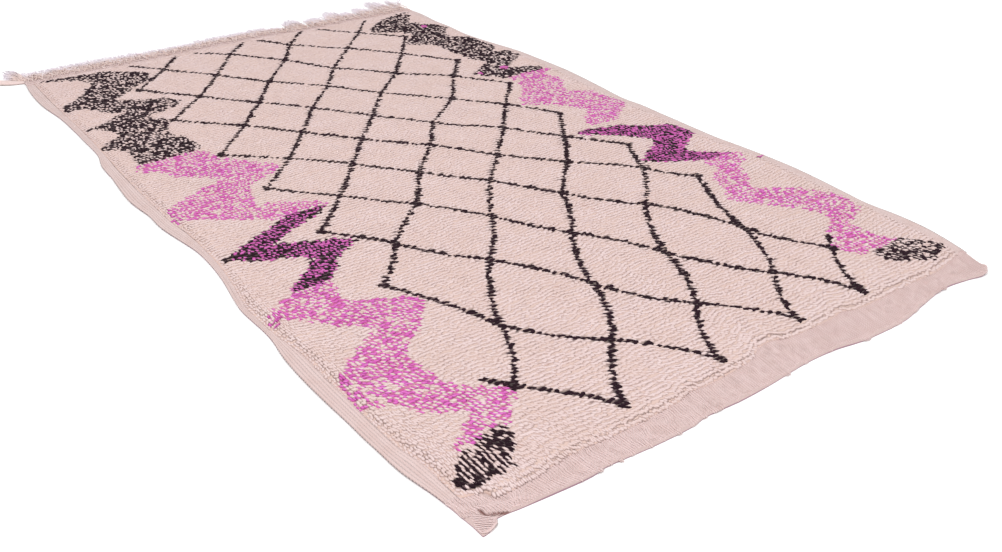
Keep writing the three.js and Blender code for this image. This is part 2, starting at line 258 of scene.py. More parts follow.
@dataclass
class RugPlan:
    """Turns places on the rug's plan into places in the frame, and gives the height of its cloth and pile.

    Attributes:
        x_shift: What to add across, in metres. Every other length is in millimetres.
        nominal_width: The width that the tables of the near and far edges are written for.
        far_band: How far the pile stops short of the far edge.
        near_row: Where along the pile's width is read for its near border.
        far_row: Where along it is read for its far border.
        pile_relief: How far the closed wool stays below the locks' tops.
        pile_foot: How high that wool stands over the cloth at its border.
        shoulder: How far in from its border the pile is rounded.
        sink_width: How far inside the pile's border the cloth reaches its full depth.
        fold_start: How much of a fold's height its start has, as a share of a half wave.
        painted_shade_depth: Folds that go deeper than this get painted shade.
        painted_shade_gain: How strongly a trough's painted shade darkens the cloth.
        painted_shade_floor: The painted shade that is left out at a trough's rim.
    """

    x_shift: float
    y_shift: float
    nominal_width: float = 1500.0
    far_band: float = 42.0
    near_row: float = 60.0
    far_row: float = 2600.0
    cloth_thick: float = 4.0
    edge_thick: float = 3.4
    pile_rise: float = 9.0
    pile_relief: float = 1.3
    pile_foot: float = 0.8
    shoulder: float = 24.0
    ground_sink: float = 0.6
    sink_width: float = 12.0
    corner: tuple[float, float] = (1492.0, -6.0)
    corner_reach: float = 75.0
    corner_lift: float = 7.0
    corner_squash: float = 1.2
    fold_start: float = 0.15
    fold_run: float = 0.7
    painted_shade_depth: float = -2.5
    painted_shade_gain: float = 1.7
    painted_shade_floor: float = 0.2

    @classmethod
    def in_frame(cls, node: str) -> "RugPlan":
        """Finds the plan's place from the box of the rug's solid.

        Args:
            node: The solid's name.

        Returns:
            The plan, placed so that its leftmost and nearest points meet the box.
        """
        low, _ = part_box(node)
        return cls(x_shift=low.x - LEFT_EDGE.lowest() * MM, y_shift=low.y - NEAR_EDGE.lowest() * MM)

    def to_frame(self, across: np.ndarray, along: np.ndarray, height: np.ndarray) -> np.ndarray:
        """Places points of the plan in the frame.

        Args:
            across: Millimetres from the near left corner to the right.
            along: Millimetres from the near end.
            height: Millimetres above the floor.

        Returns:
            Points in metres, with x, y and z in the last axis.
        """
        across, along, height = np.broadcast_arrays(across, along, height)
        return np.stack([across * MM + self.x_shift, along * MM + self.y_shift, height * MM], axis=-1)

    def cloth_place(self, side: np.ndarray, end: np.ndarray) -> tuple[np.ndarray, np.ndarray]:
        """Finds a place on the cloth from its shares of the width and the length.

        Args:
            side: 0 at the left edge to 1 at the right edge.
            end: 0 at the near edge to 1 at the far edge.

        Returns:
            How far across and along it is.
        """
        nominal = np.asarray(side) * self.nominal_width
        near, far = NEAR_EDGE.read(nominal), FAR_EDGE.read(nominal)
        along = near + (far - near) * end
        left, right = LEFT_EDGE.read(along), RIGHT_EDGE.read(along)
        return left + (right - left) * side, along

    def pile_place(self, side: np.ndarray, end: np.ndarray) -> tuple[np.ndarray, np.ndarray]:
        """Finds a place in the pile from its shares of the pile's own width and length.

        Args:
            side: 0 at the pile's left border to 1 at its right border.
            end: 0 at the pile's near border to 1 at its far border.

        Returns:
            How far across and along it is.
        """
        near = NEAR_PILE.read(self.across_pile(side, self.near_row))
        far = FAR_EDGE.read(self.across_pile(side, self.far_row)) - self.far_band
        along = near + (far - near) * end
        return self.across_pile(side, along), along

    @staticmethod
    def across_pile(side: np.ndarray, along: np.ndarray) -> np.ndarray:
        """Gives the place across of a share of the pile's width."""
        left, right = LEFT_PILE.read(along), RIGHT_PILE.read(along)
        return left + (right - left) * side

    def in_pile(self, across: np.ndarray, along: np.ndarray) -> np.ndarray:
        """Tells how far inside the pile a place is.

        Args:
            across: How far across.
            along: How far along.

        Returns:
            Millimetres from the pile's nearest border, negative outside it.
        """
        left, right = across - LEFT_PILE.read(along), RIGHT_PILE.read(along) - across
        near = along - NEAR_PILE.read(across)
        far = FAR_EDGE.read(across) - self.far_band - along
        return np.minimum(np.minimum(left, right), np.minimum(near, far))

    def pile_top(self, across: np.ndarray, along: np.ndarray) -> np.ndarray:
        """Gives the height of the pile's lumpy top.

        Args:
            across: How far across.
            along: How far along.

        Returns:
            Millimetres above the floor.
        """
        top = np.full(np.broadcast(across, along).shape, self.cloth_thick + self.pile_rise)
        for lump in LUMPS:
            sideways = np.sin(math.tau * across / lump.across + lump.phase)
            top += lump.height * sideways * np.cos(math.tau * along / lump.along + lump.phase)
        return top

    def bed_top(self, across: np.ndarray, along: np.ndarray) -> np.ndarray:
        """Gives the height of the closed wool that the locks lie on: full inside, round down to its border.

        Args:
            across: How far across.
            along: How far along.

        Returns:
            Millimetres above the floor.
        """
        inside = np.clip(self.in_pile(across, along) / self.shoulder, 0, 1)
        foot = self.cloth_top(across, along) + self.pile_foot
        return foot + (self.pile_top(across, along) - self.pile_relief - foot) * np.sin(inside * math.pi / 2)

    def lift(self, across: np.ndarray, along: np.ndarray) -> np.ndarray:
        """Gives how far the near right corner curls off the floor, in millimetres."""
        away = np.hypot(across - self.corner[0], (along - self.corner[1]) * self.corner_squash)
        return self.corner_lift * np.clip(1 - away / self.corner_reach, 0, 1) ** 2

    @staticmethod
    def near_fold(fold: Fold, across: np.ndarray, along: np.ndarray) -> tuple[np.ndarray, np.ndarray]:
        """Tells where places are by a fold.

        Args:
            fold: The fold.
            across: How far across each place is.
            along: How far along it is.

        Returns:
            How near the place is to the fold and how far along the fold it is, both from 0 to 1.
        """
        start, end = np.array(fold.start, float), np.array(fold.end, float)
        run = end - start
        share = ((across - start[0]) * run[0] + (along - start[1]) * run[1]) / (run @ run)
        held = np.clip(share, 0, 1)
        away = np.hypot(across - start[0] - held * run[0], along - start[1] - held * run[1])
        return np.exp(-((away / fold.width) ** 2)), held

    def crease_shade(self, across: np.ndarray, along: np.ndarray) -> np.ndarray:
        """Gives the painted shade that the cloth gets in the dark of a trough, from 0 to 1."""
        troughs = [self.near_fold(fold, across, along)[0] for fold in FOLDS if fold.height < self.painted_shade_depth]
        return np.clip(self.painted_shade_gain * np.max(troughs, axis=0) - self.painted_shade_floor, 0, 1)

    def cloth_top(self, across: np.ndarray, along: np.ndarray) -> np.ndarray:
        """Gives the height of the cloth's face, with its folds.

        Args:
            across: How far across.
            along: How far along.

        Returns:
            Millimetres above the floor.
        """
        top = np.full(np.broadcast(across, along).shape, self.cloth_thick) + self.lift(across, along)
        for fold in FOLDS:
            near, held = self.near_fold(fold, across, along)
            top += fold.height * near * np.sin(math.pi * (self.fold_start + self.fold_run * held))
        inside = np.clip(self.in_pile(across, along) / self.sink_width, 0, 1)
        return top - self.ground_sink * inside


# The pattern, charted in centimetres


@dataclass(frozen=True)
class Zone:
    """A stretch of a zigzag band, knotted in two yarns that take turns from column to column.

    Attributes:
        first: The yarn of the even columns.
        second: The yarn of the odd columns.
        solid: How often an odd column takes the first yarn after all.
        open: How often an even column takes the second yarn after all.
        turns: Rows of along, left side and right side, from the far end of the zone to its near end.
        trade: How often the even and odd columns trade places from one row to the next.
    """

    first: Yarn
    second: Yarn
    solid: float
    open: float
    turns: tuple[tuple[float, float, float], ...]
    trade: float = 0.5

    def holds(self, across: np.ndarray, along: np.ndarray) -> np.ndarray:
        """Tells which places lie in the zone.

        Args:
            across: How far across, in centimetres.
            along: How far along, in centimetres.

        Returns:
            True where a place is inside.
        """
        rows = np.array(self.turns[::-1], float)
        left = np.interp(along, rows[:, 0], rows[:, 1])
        right = np.interp(along, rows[:, 0], rows[:, 2])
        return (along >= rows[0, 0]) & (along <= rows[-1, 0]) & (across >= left) & (across <= right)


LEFT_BAND = (
    Zone(Yarn.CHARCOAL, Yarn.CREAM, 0.43, 0.09, (
        (260, 4, 7), (258, 6, 23), (253, 15, 30), (248, 17, 36), (241, 12, 35), (237, 8, 28), (233, 3, 24),
        (229, 2, 18), (227, 9, 20), (222, 12, 31), (217, 16, 35), (213, 10, 33), (210, 3, 22), (206, 7, 24),
        (203, 10, 28), (199, 8, 24), (194, 1, 22), (187, 8, 25), (176, 6, 26))),
    Zone(Yarn.PINK, Yarn.CREAM, 0.22, 0.13, (
        (176, 5, 25), (171, 4, 26), (169, 9, 27), (162, 12, 31), (158, 19, 35), (153, 20, 39), (150, 12, 36),
        (147, 5, 29), (143, 2, 25), (137, 1, 23), (134, 8, 23), (130, 12, 30), (126, 19, 36), (123, 23, 39))),
    Zone(Yarn.MAGENTA, Yarn.CHARCOAL, 0.08, 0.2, (
        (123, 25, 38), (119, 18, 33), (115, 10, 23), (111, 4, 17), (109, 5, 20), (105, 10, 30), (101, 19, 35),
        (98, 20, 29), (94, 16, 25), (87, 8, 20))),
    Zone(Yarn.PINK, Yarn.CREAM, 0.22, 0.13, (
        (87, 8, 19), (83, 2, 19), (79, -1, 17), (76, 6, 19), (71, 9, 29), (66, 14, 33), (63, 17, 29),
        (58, 9, 25), (52, 2, 18), (47, 0, 17), (40, 0, 18), (36, 7, 20), (31, 9, 24), (27, 17, 29),
        (23, 13, 25), (18, 7, 20))),
    Zone(Yarn.CHARCOAL, Yarn.CREAM, 0.2, 0.07, (
        (18.7, 15.4, 19.6), (17.4, 9, 19.8), (16.4, 7.4, 19.6), (15.2, 6.2, 19.2), (13.8, 5, 18.6),
        (12.6, 4.2, 17.6), (11.4, 2.6, 16.4), (10.2, 2.2, 14.6), (9.2, 2.6, 14.4), (8.4, 3, 14.6),
        (7.7, 3.4, 11)), trade=0.15),
    Zone(Yarn.CHARCOAL, Yarn.CREAM, 0.75, 0.06, (
        (18.7, 16, 19.6), (16.4, 14, 19.6), (13.8, 13.6, 18.6), (11.8, 13, 16.8))),
    Zone(Yarn.CHARCOAL, Yarn.CREAM, 0.85, 0.04, ((11.2, 2.4, 4.6), (9.4, 2.2, 5.2))),
    Zone(Yarn.CHARCOAL, Yarn.CREAM, 0.9, 0.04, ((9.3, 2.6, 14.2), (7.7, 3.4, 11))),
)
RIGHT_BAND = (
    Zone(Yarn.CHARCOAL, Yarn.CREAM, 0.51, 0.09, (
        (254, 142, 145), (251, 133, 144), (247, 127, 141), (243, 121, 139), (240, 120, 139), (237, 124, 141),
        (233, 129, 145), (229, 132, 147), (225, 128, 144), (222, 124, 142), (218, 126, 141), (213, 131, 149),
        (209, 132, 148), (205, 131, 150), (199, 133, 148), (195, 132, 144), (193, 134, 151), (188, 136, 151),
        (184, 131, 146), (181, 126, 141), (178, 127, 140), (174, 129, 149), (171, 131, 149))),
    Zone(Yarn.PINK, Yarn.CREAM, 0.22, 0.13, (
        (171, 133, 152), (166, 134, 145), (161, 131, 147), (157, 128, 146), (152, 124, 142), (148, 122, 142),
        (145, 127, 148), (139, 133, 149), (134, 136, 152), (131, 135, 151), (127, 130, 146), (122, 126, 139))),
    Zone(Yarn.MAGENTA, Yarn.CHARCOAL, 0.2, 0.1, (
        (121, 120, 124), (117, 124, 137), (112, 130, 143), (109, 133, 149), (104, 137, 151), (100, 134, 151),
        (97, 128, 146), (94, 124, 141), (91, 126, 140), (87, 133, 144), (83, 140, 149))),
    Zone(Yarn.PINK, Yarn.CREAM, 0.22, 0.13, (
        (83, 137, 151), (78, 138, 149), (74, 132, 143), (69, 130, 141), (64, 127, 136), (61, 126, 139),
        (57, 128, 144), (51, 134, 149), (46, 138, 153), (41, 140, 152), (37, 138, 149), (34, 133, 142),
        (29, 127, 140), (25, 128, 141), (21, 131, 144))),
    Zone(Yarn.CHARCOAL, Yarn.CREAM, 0.36, 0.12, (
        (21, 132.8, 144.6), (19, 132.6, 146.6), (16.4, 133.2, 149), (15, 133.8, 150.6), (13.2, 136.2, 152),
        (11.8, 139, 152), (10.8, 139.8, 146), (9.4, 140.4, 142))),
)


@dataclass(frozen=True)
class Crossings:
    """One row of the lattice's crossings.

    Attributes:
        bow: How far the lines up to the next row swell towards the row of fewer cells.
    """

    points: Places
    bow: float = 0.0


LATTICE = (
    Crossings(((42.5, 10), (69.5, 10), (95, 11), (116, 10))),
    Crossings(((28.5, 28), (56, 29), (81, 29), (106, 28), (127, 28)), bow=1.5),
    Crossings(((40, 48), (68, 50), (92, 51), (117, 49)), bow=1.5),
    Crossings(((28, 78), (55, 73), (80, 72), (106, 73), (129.5, 77)), bow=1.1),
    Crossings(((41, 94), (69, 92), (92, 91), (121, 91)), bow=0.4),
    Crossings(((29, 110), (57, 109), (81, 109), (106, 106), (128.5, 105)), bow=0.2),
    Crossings(((43, 125), (68, 125), (93, 122), (117, 121))),
    Crossings(((29, 141), (56, 141), (81, 139), (106, 137), (127.5, 136))),
    Crossings(((43, 155), (67, 155), (91, 153), (118, 152))),
    Crossings(((28, 169), (55, 170), (79, 169), (107, 166), (130.5, 166))),
    Crossings(((43, 185), (67, 186), (91, 184), (119, 183))),
    Crossings(((27, 202), (55, 200), (80, 200), (104.5, 197), (129, 195))),
    Crossings(((42, 216), (66, 215), (90, 214), (117, 213))),
    Crossings(((28, 233), (54.5, 231), (80, 231), (104, 229), (128, 228))),
    Crossings(((42, 247), (67, 248), (89, 245), (116, 242))),
)
# Where the lines above the last row end, and where two short lines lead down from the second row
LATTICE_ENDS = ((34, 257), (51, 258), (57, 257), (76, 257), (82, 256), (99, 256), (106, 254), (125, 253))
LATTICE_TAILS = (((28.5, 28), (25, 34)), ((127, 28), (131, 33)))


@dataclass(frozen=True)
class Line:
    """One line of the lattice from its lower to its upper end, with a sideways swell at its middle."""

    lower: tuple[float, float]
    upper: tuple[float, float]
    swell: float = 0.0


@dataclass(frozen=True)
class Stray:
    """A few knots of another yarn."""

    across: float
    along: float
    radius: float
    yarn: Yarn


STRAYS = (
    Stray(140, 234, 1.2, Yarn.PINK),
    Stray(138, 180, 1.6, Yarn.PINK),
    Stray(128, 180, 1.0, Yarn.PINK),
    Stray(3.9, 110.5, 1.3, Yarn.CHARCOAL),
)


@dataclass
class Chart:
    """The knot chart: which yarn each knot of the pile is tied in.

    Attributes:
        line_half: Half the width of a lattice line, in centimetres.
        line_uneven: How much that width and the line's place change from row to row.
        line_overrun: How far past its ends a line is knotted, as a share of its length.
        tip_half: How far the dark knots spread about a crossing.
    """

    line_half: float = 0.78
    line_uneven: float = 0.16
    line_overrun: float = 0.03
    tip_half: float = 1.15
    tip_squash: float = 0.8
    edge_wander: float = 0.4

    @staticmethod
    def lines() -> list[Line]:
        """Lists the lattice's lines, from each row of crossings to the next.

        Returns:
            The lines.
        """
        found = []
        for row, above in zip(LATTICE, LATTICE[1:]):
            fewer_below = len(row.points) < len(above.points)
            for k, lower in enumerate(row.points):
                neighbours = (k, k + 1) if fewer_below else (k - 1, k)
                for n in neighbours:
                    if 0 <= n < len(above.points):
                        upper = above.points[n]
                        side = math.copysign(1, upper[0] - lower[0])
                        bow = above.bow if fewer_below else row.bow
                        found.append(Line(lower, upper, -side * bow if fewer_below else side * bow))
        for k, lower in enumerate(LATTICE[-1].points):
            found += [Line(lower, LATTICE_ENDS[2 * k]), Line(lower, LATTICE_ENDS[2 * k + 1])]
        return found + [Line(lower, upper) for lower, upper in LATTICE_TAILS]

    def on_lattice(self, across: np.ndarray, along: np.ndarray, rng: np.random.Generator) -> np.ndarray:
        """Tells which knots a lattice line passes through.

        Args:
            across: How far across each knot is, in centimetres, row by row.
            along: How far along each knot is.
            rng: The source of chance.

        Returns:
            True for the dark knots.
        """
        dark = np.zeros(across.shape, bool)
        for line in self.lines():
            (x0, y0), (x1, y1) = line.lower, line.upper
            share = (along - y0) / (y1 - y0)
            middle = x0 + (x1 - x0) * share + line.swell * 4 * share * (1 - share)
            uneven = rng.normal(0, self.line_uneven, (across.shape[0], 1))
            near = abs(across - middle - uneven) < self.line_half + uneven
            dark |= near & (share > -self.line_overrun) & (share < 1 + self.line_overrun)
        for x, y in (point for row in LATTICE for point in row.points):
            dark |= np.hypot(across - x, (along - y) * self.tip_squash) < self.tip_half
        return dark

    def yarns(self, across: np.ndarray, along: np.ndarray, rng: np.random.Generator) -> np.ndarray:
        """Picks the yarn of every knot.

        Args:
            across: How far across each knot is, in centimetres, row by row.
            along: How far along each knot is.
            rng: The source of chance.

        Returns:
            The place of each knot's yarn in the list of yarns.
        """
        order = list(Yarn)
        picked = np.full(across.shape, order.index(Yarn.CREAM))
        column = np.arange(across.shape[1])[None, :]
        wander = rng.normal(0, self.edge_wander, across.shape)
        for zone in LEFT_BAND + RIGHT_BAND:
            chance = rng.random(across.shape)
            even = (column + np.cumsum(rng.random((len(across), 1)) < zone.trade, axis=0)) % 2 == 0
            first = np.where(even, chance > zone.open, chance < zone.solid)
            yarn = np.where(first, order.index(zone.first), order.index(zone.second))
            picked = np.where(zone.holds(across + wander, along), yarn, picked)
        for stray in STRAYS:
            near = np.hypot(across - stray.across, along - stray.along) < stray.radius
            picked[near] = order.index(stray.yarn)
        picked[self.on_lattice(across, along, rng)] = order.index(Yarn.CHARCOAL)
        return picked


# Shapes that are modelled once and then laid out many times

# A share too small to see, how far down a face's normal points once it counts as underside, and how straight
# a face has to look one way to be selected by it
TINY = 1e-4
LOOKS_DOWN = -0.2
FACES_ONE_WAY = 0.9

# The height and the side of the triangle that a three-sided cylinder of radius 1 has at its ends
TRIANGLE_HEIGHT = 1.5
TRIANGLE_SIDE = math.sqrt(3)


@dataclass
class Shape:
    """A closed mesh of triangles that runs from its root at y = 0 to its tip at y = 1.

    Attributes:
        around: How far round the shape each corner of each triangle is, from 0 to 1.
    """

    points: np.ndarray
    faces: np.ndarray
    around: np.ndarray
    smooth: np.ndarray

    @classmethod
    def taken_from(cls, model: bpy.types.Object, flat_below: bool = False) -> "Shape":
        """Reads a modelled shape and removes its object.

        Args:
            model: The modelled object.
            flat_below: Whether its underside is kept out of the round shading.

        Returns:
            The shape, with its corners measured round its long axis.
        """
        mesh = model.data
        mesh.calc_loop_triangles()
        points = np.array([vertex.co[:] for vertex in mesh.vertices])
        faces = np.array([triangle.vertices[:] for triangle in mesh.loop_triangles])
        middle = (points[:, 2].min() + points[:, 2].max()) / 2
        turn = np.arctan2(points[:, 2] - middle, points[:, 0]) / math.tau % 1
        pole = (points[:, 1] < TINY) | (points[:, 1] > 1 - TINY)
        pole &= abs(points[:, 0]) < TINY
        around, ends = turn[faces], pole[faces]
        spread = np.where(ends, np.nan, around)
        wraps = np.nanmax(spread, 1) - np.nanmin(spread, 1) > 0.5
        around = np.where(wraps[:, None] & (around < 0.5), around + 1, around)
        mean = np.nanmean(np.where(ends, np.nan, around), 1)
        around = np.where(ends, mean[:, None], around)
        looks_down = np.array([triangle.normal.z < LOOKS_DOWN for triangle in mesh.loop_triangles])
        bpy.data.meshes.remove(mesh)
        return cls(points, faces, around, ~(looks_down & flat_below))


def deselect_all() -> None:
    """Deselects every object, so that an operator acts on nothing but the next primitive."""
    bpy.ops.object.select_all(action="DESELECT")


def select_faces(mesh: bpy.types.Mesh, axis: int, side: int) -> None:
    """Selects the faces of the mesh in edit mode that look one way, and nothing else.

    Args:
        mesh: The mesh in edit mode.
        axis: 0, 1 or 2 for x, y or z.
        side: 1 or -1.
    """
    bpy.ops.mesh.select_mode(type="FACE")
    bpy.ops.mesh.select_all(action="DESELECT")
    edited = bmesh.from_edit_mesh(mesh)
    for face in edited.faces:
        face.select_set(face.normal[axis] * side > FACES_ONE_WAY)
    bmesh.update_edit_mesh(mesh)


@dataclass(frozen=True)
class LockModel:
    """One lock of pile: a leaf of wool with a ridged back, drawn to a point at its root and its cut end.

    Attributes:
        shoulder: Where the lock has its full width, as a share of its length.
        nose: Where it starts to thin out towards its tip.
        nose_narrowing: The lock's width at the nose, as a share of the full width.
    """

    shoulder: float = 0.42
    nose: float = 0.7
    back_height: float = 1.0
    side_height: float = 0.28
    nose_narrowing: float = 0.9
    tip_height: float = 0.42

    def build(self) -> Shape:
        """Models the lock from a three-sided prism.

        Returns:
            The lock, one unit wide, long and high.
        """
        deselect_all()
        rise = self.back_height - self.side_height
        middle = (self.shoulder + self.nose) / 2
        bpy.ops.mesh.primitive_cylinder_add(
            vertices=3, radius=1, depth=self.nose - self.shoulder, location=(0, middle, 0),
            rotation=(math.radians(90), 0, 0))
        lock = bpy.context.object
        lock.scale = (1 / TRIANGLE_SIDE, rise / TRIANGLE_HEIGHT, 1)
        lock.location.z = self.back_height - rise / TRIANGLE_HEIGHT
        bpy.ops.object.transform_apply(location=True, rotation=True, scale=True)
        bpy.ops.object.mode_set(mode="EDIT")
        select_faces(lock.data, 1, 1)
        bpy.ops.transform.resize(value=(self.nose_narrowing, 1, 1))
        bpy.ops.mesh.poke()
        select_faces(lock.data, 1, -1)
        bpy.ops.mesh.poke()
        low, high = self.shoulder, self.nose
        centre_z = self.back_height - rise * 2 / 3
        for at, move in ((low, (0, -low, -centre_z)), (high, (0, 1 - high, self.tip_height - centre_z))):
            self.select_centre(lock.data, at, centre_z)
            bpy.ops.transform.translate(value=move)
        bpy.ops.object.mode_set(mode="OBJECT")
        return Shape.taken_from(lock, flat_below=True)

    @staticmethod
    def select_centre(mesh: bpy.types.Mesh, along: float, height: float) -> None:
        """Selects the one point in the middle of an end face.

        Args:
            mesh: The mesh in edit mode.
            along: Where the face is along y.
            height: The height of the face's middle.
        """
        bpy.ops.mesh.select_mode(type="VERT")
        bpy.ops.mesh.select_all(action="DESELECT")
        edited = bmesh.from_edit_mesh(mesh)
        place = Vector((0, along, height))
        nearest = min(edited.verts, key=lambda point: (point.co - place).length)
        nearest.select_set(True)
        bmesh.update_edit_mesh(mesh)


@dataclass(frozen=True)
class StrandModel:
    """A straight strand with a given number of sides and rings, to be laid along a path."""

    sides: int
    rings: int

    def build(self) -> Shape:
        """Models the strand by extruding a disc again and again.

        Returns:
            The strand, one unit wide, long and high, standing on z = 0.
        """
        deselect_all()
        bpy.ops.mesh.primitive_circle_add(
            vertices=self.sides, radius=0.5, fill_type="NGON", location=(0, 0, 0.5),
            rotation=(math.radians(90), 0, 0))
        strand = bpy.context.object
        bpy.ops.object.transform_apply(location=True, rotation=True, scale=True)
        bpy.ops.object.mode_set(mode="EDIT")
        bpy.ops.mesh.select_all(action="SELECT")
        for _ in range(self.rings):
            bpy.ops.mesh.extrude_region_move(TRANSFORM_OT_translate={"value": (0, 1 / self.rings, 0)})
        bpy.ops.mesh.select_all(action="SELECT")
        bpy.ops.mesh.fill_holes(sides=self.sides)
        bpy.ops.mesh.select_all(action="SELECT")
        bpy.ops.mesh.normals_make_consistent(inside=False)
        bpy.ops.object.mode_set(mode="OBJECT")
        return Shape.taken_from(strand)


def add_mark(mesh: bpy.types.Mesh, label: str, values: np.ndarray) -> None:
    """Keeps a number with every point of a mesh, for its finish to read."""
    kept = mesh.attributes.new(label, "FLOAT", "POINT")
    kept.data.foreach_set("value", values.reshape(-1).astype(np.float32))


@dataclass
class Copies:
    """Many copies of one shape as one mesh.

    Attributes:
        points: The copies' vertices, one row of vertices for each copy.
        tone: A number from 0 to 1 for each copy, which shades its yarn.
        dark: How much painted trough shade each vertex gets, from 0 to 1.
        shift_step: How far each copy's grain is shifted from the last one's.
        cell_margin: The empty rim of each copy's cell in the map, as a share of the cell.
    """

    shape: Shape
    points: np.ndarray
    length: np.ndarray
    girth: np.ndarray
    tone: np.ndarray
    dark: np.ndarray | float = 0.0
    shift_step: float = 0.61803
    cell_margin: float = 0.06

    def mesh_object(self, name: str) -> bpy.types.Object:
        """Joins the copies into one object at the origin.

        Args:
            name: The piece's name.

        Returns:
            The new object, with its maps and its tone and reach on every point.
        """
        copies, count = self.points.shape[0], self.points.shape[1]
        faces = (self.shape.faces[None] + count * np.arange(copies)[:, None, None]).reshape(-1, 3)
        mesh = bpy.data.meshes.new(name)
        mesh.vertices.add(copies * count)
        mesh.vertices.foreach_set("co", self.points.reshape(-1).astype(np.float32))
        mesh.loops.add(faces.size)
        mesh.loops.foreach_set("vertex_index", faces.reshape(-1).astype(np.int32))
        mesh.polygons.add(len(faces))
        mesh.polygons.foreach_set("loop_start", np.arange(0, faces.size, 3, dtype=np.int32))
        mesh.polygons.foreach_set("use_smooth", np.tile(self.shape.smooth, copies))
        mesh.update(calc_edges=True)
        # The dark mark carries painted shade for the troughs
        marks = {"tone": self.tone[:, None], "reach": self.shape.points[:, 1], "crown": self.shape.points[:, 2],
                 "dark": self.dark}
        for label, values in marks.items():
            add_mark(mesh, label, np.broadcast_to(values, (copies, count)))
        self.add_maps(mesh)
        piece = bpy.data.objects.new(name, mesh)
        bpy.context.scene.collection.objects.link(piece)
        return piece

    def add_maps(self, mesh: bpy.types.Mesh) -> None:
        """Adds a map in real lengths for the yarn's grain, and one that gives each copy a cell of its own.

        Args:
            mesh: The joined mesh.
        """
        copies = self.points.shape[0]
        around = self.shape.around[None]
        along = self.shape.points[self.shape.faces, 1][None]
        shift = (np.arange(copies) * self.shift_step % 1)[:, None, None]
        grain = np.stack([around * self.girth[:, None, None] + shift, along * self.length[:, None, None] + shift],
                         axis=-1)
        cells = math.ceil(math.sqrt(copies))
        number = np.arange(copies)[:, None, None]
        widest = self.shape.around.max()
        margin, used = self.cell_margin, 1 - 2 * self.cell_margin
        column = (number % cells + margin + used * around / widest) / cells
        row = (number // cells + margin + used * along) / cells
        cell = np.stack([np.broadcast_to(column, grain.shape[:-1]), np.broadcast_to(row, grain.shape[:-1])],
                        axis=-1)
        for label, values in (("Yarn", grain), ("OFBake", cell)):
            layer = mesh.uv_layers.new(name=label)
            layer.data.foreach_set("uv", values.reshape(-1).astype(np.float32))
        mesh.uv_layers.active = mesh.uv_layers["Yarn"]
        mesh.uv_layers["Yarn"].active_render = True


def stood(shape: Shape, root: np.ndarray, heading: np.ndarray, size: np.ndarray, fall: np.ndarray,
          roll: np.ndarray, tone: np.ndarray) -> Copies:
    """Sets straight copies of a shape on their roots.

    Args:
        shape: The shape.
        root: Where each copy starts, in metres.
        heading: Which way each copy points, turned from +y, in radians.
        size: The width, length and height of each copy, in metres.
        fall: How far each copy's tip lies below its root, in metres.
        roll: How far each copy's right side lies below its left side, in metres.
        tone: The shade of each copy.

    Returns:
        The copies.
    """
    local = shape.points[None] * size[:, None, :]
    local[..., 2] -= shape.points[None, :, 1] * fall[:, None] + shape.points[None, :, 0] * roll[:, None]
    cos, sin = np.cos(heading)[:, None], np.sin(heading)[:, None]
    turned = np.stack([local[..., 0] * cos - local[..., 1] * sin, local[..., 0] * sin + local[..., 1] * cos,
                       local[..., 2]], axis=-1)
    return Copies(shape, turned + root[:, None, :], size[:, 1], size[:, 0] + size[:, 2], tone)


# How far round a strand is, as a share of its width and height together
GIRTH_SHARE = 1.6


def laid(shape: Shape, paths: np.ndarray, width: np.ndarray, height: np.ndarray, tone: np.ndarray,
         dark: np.ndarray | None = None) -> Copies:
    """Lays copies of a strand along paths, one ring of the strand at each point of its path.

    Args:
        shape: The strand.
        paths: The points under each copy, in metres.
        width: How wide each copy is at each point.
        height: How high it is there.
        tone: The shade of each copy.
        dark: How much painted trough shade each point gets.

    Returns:
        The copies.
    """
    last = paths.shape[1] - 1
    ring = np.rint(shape.points[:, 1] * last).astype(int)
    run = np.gradient(paths, axis=1)
    flat = np.hypot(run[..., 0], run[..., 1])
    side = np.stack([run[..., 1] / flat, -run[..., 0] / flat, np.zeros_like(flat)], axis=-1)
    x, z = shape.points[:, 0][None, :, None], shape.points[:, 2][None, :, None]
    wide, high = width[:, ring][..., None], height[:, ring][..., None]
    points = paths[:, ring] + side[:, ring] * x * wide + np.array([0, 0, 1.0]) * z * high
    length = np.linalg.norm(np.diff(paths, axis=1), axis=-1).sum(1)
    # Painted trough shade for each point of the strand
    depth = 0.0 if dark is None else dark[:, ring]
    return Copies(shape, points, length, (width + height).mean(1) * GIRTH_SHARE, tone, depth)


def smooth_noise(rng: np.random.Generator, shape: tuple[int, int], blur: tuple[int, int]) -> np.ndarray:
    """Makes soft random waves over a grid.

    Args:
        rng: The source of chance.
        shape: Rows and columns of the grid.
        blur: How many rows and columns a wave takes.

    Returns:
        Values about 0 that spread about 1.
    """
    rows, columns = (max(2, math.ceil(n / b) + 1) for n, b in zip(shape, blur))
    coarse = rng.normal(0, 1, (rows, columns))
    down = np.linspace(0, rows - 1, shape[0])
    over = np.linspace(0, columns - 1, shape[1])
    part = np.stack([np.interp(over, np.arange(columns), row) for row in coarse])
    return np.stack([np.interp(down, np.arange(rows), column) for column in part.T], axis=1)


def uneven(rng: np.random.Generator, share: float, shape: tuple[int, ...]) -> np.ndarray:
    """Gives factors about 1 that make hand work uneven."""
    return rng.normal(1, share, shape)


def tones(rng: np.random.Generator, mean: float, spread: float, count: int) -> np.ndarray:
    """Gives every yarn its shade, from 0 to 1."""
    return np.clip(rng.normal(mean, spread, count), 0, 1)


# Shader building


Input = float | tuple[float, ...] | bpy.types.NodeSocket


@dataclass(frozen=True)
class Bump:
    """A fine relief in a finish: its depth in metres and its strength."""

    depth: float
    strength: float


@dataclass(frozen=True)
class Grain:
    """Fibres in a finish: how fine they are across the yarn, and how many times longer than wide."""

    fineness: float
    stretch: float


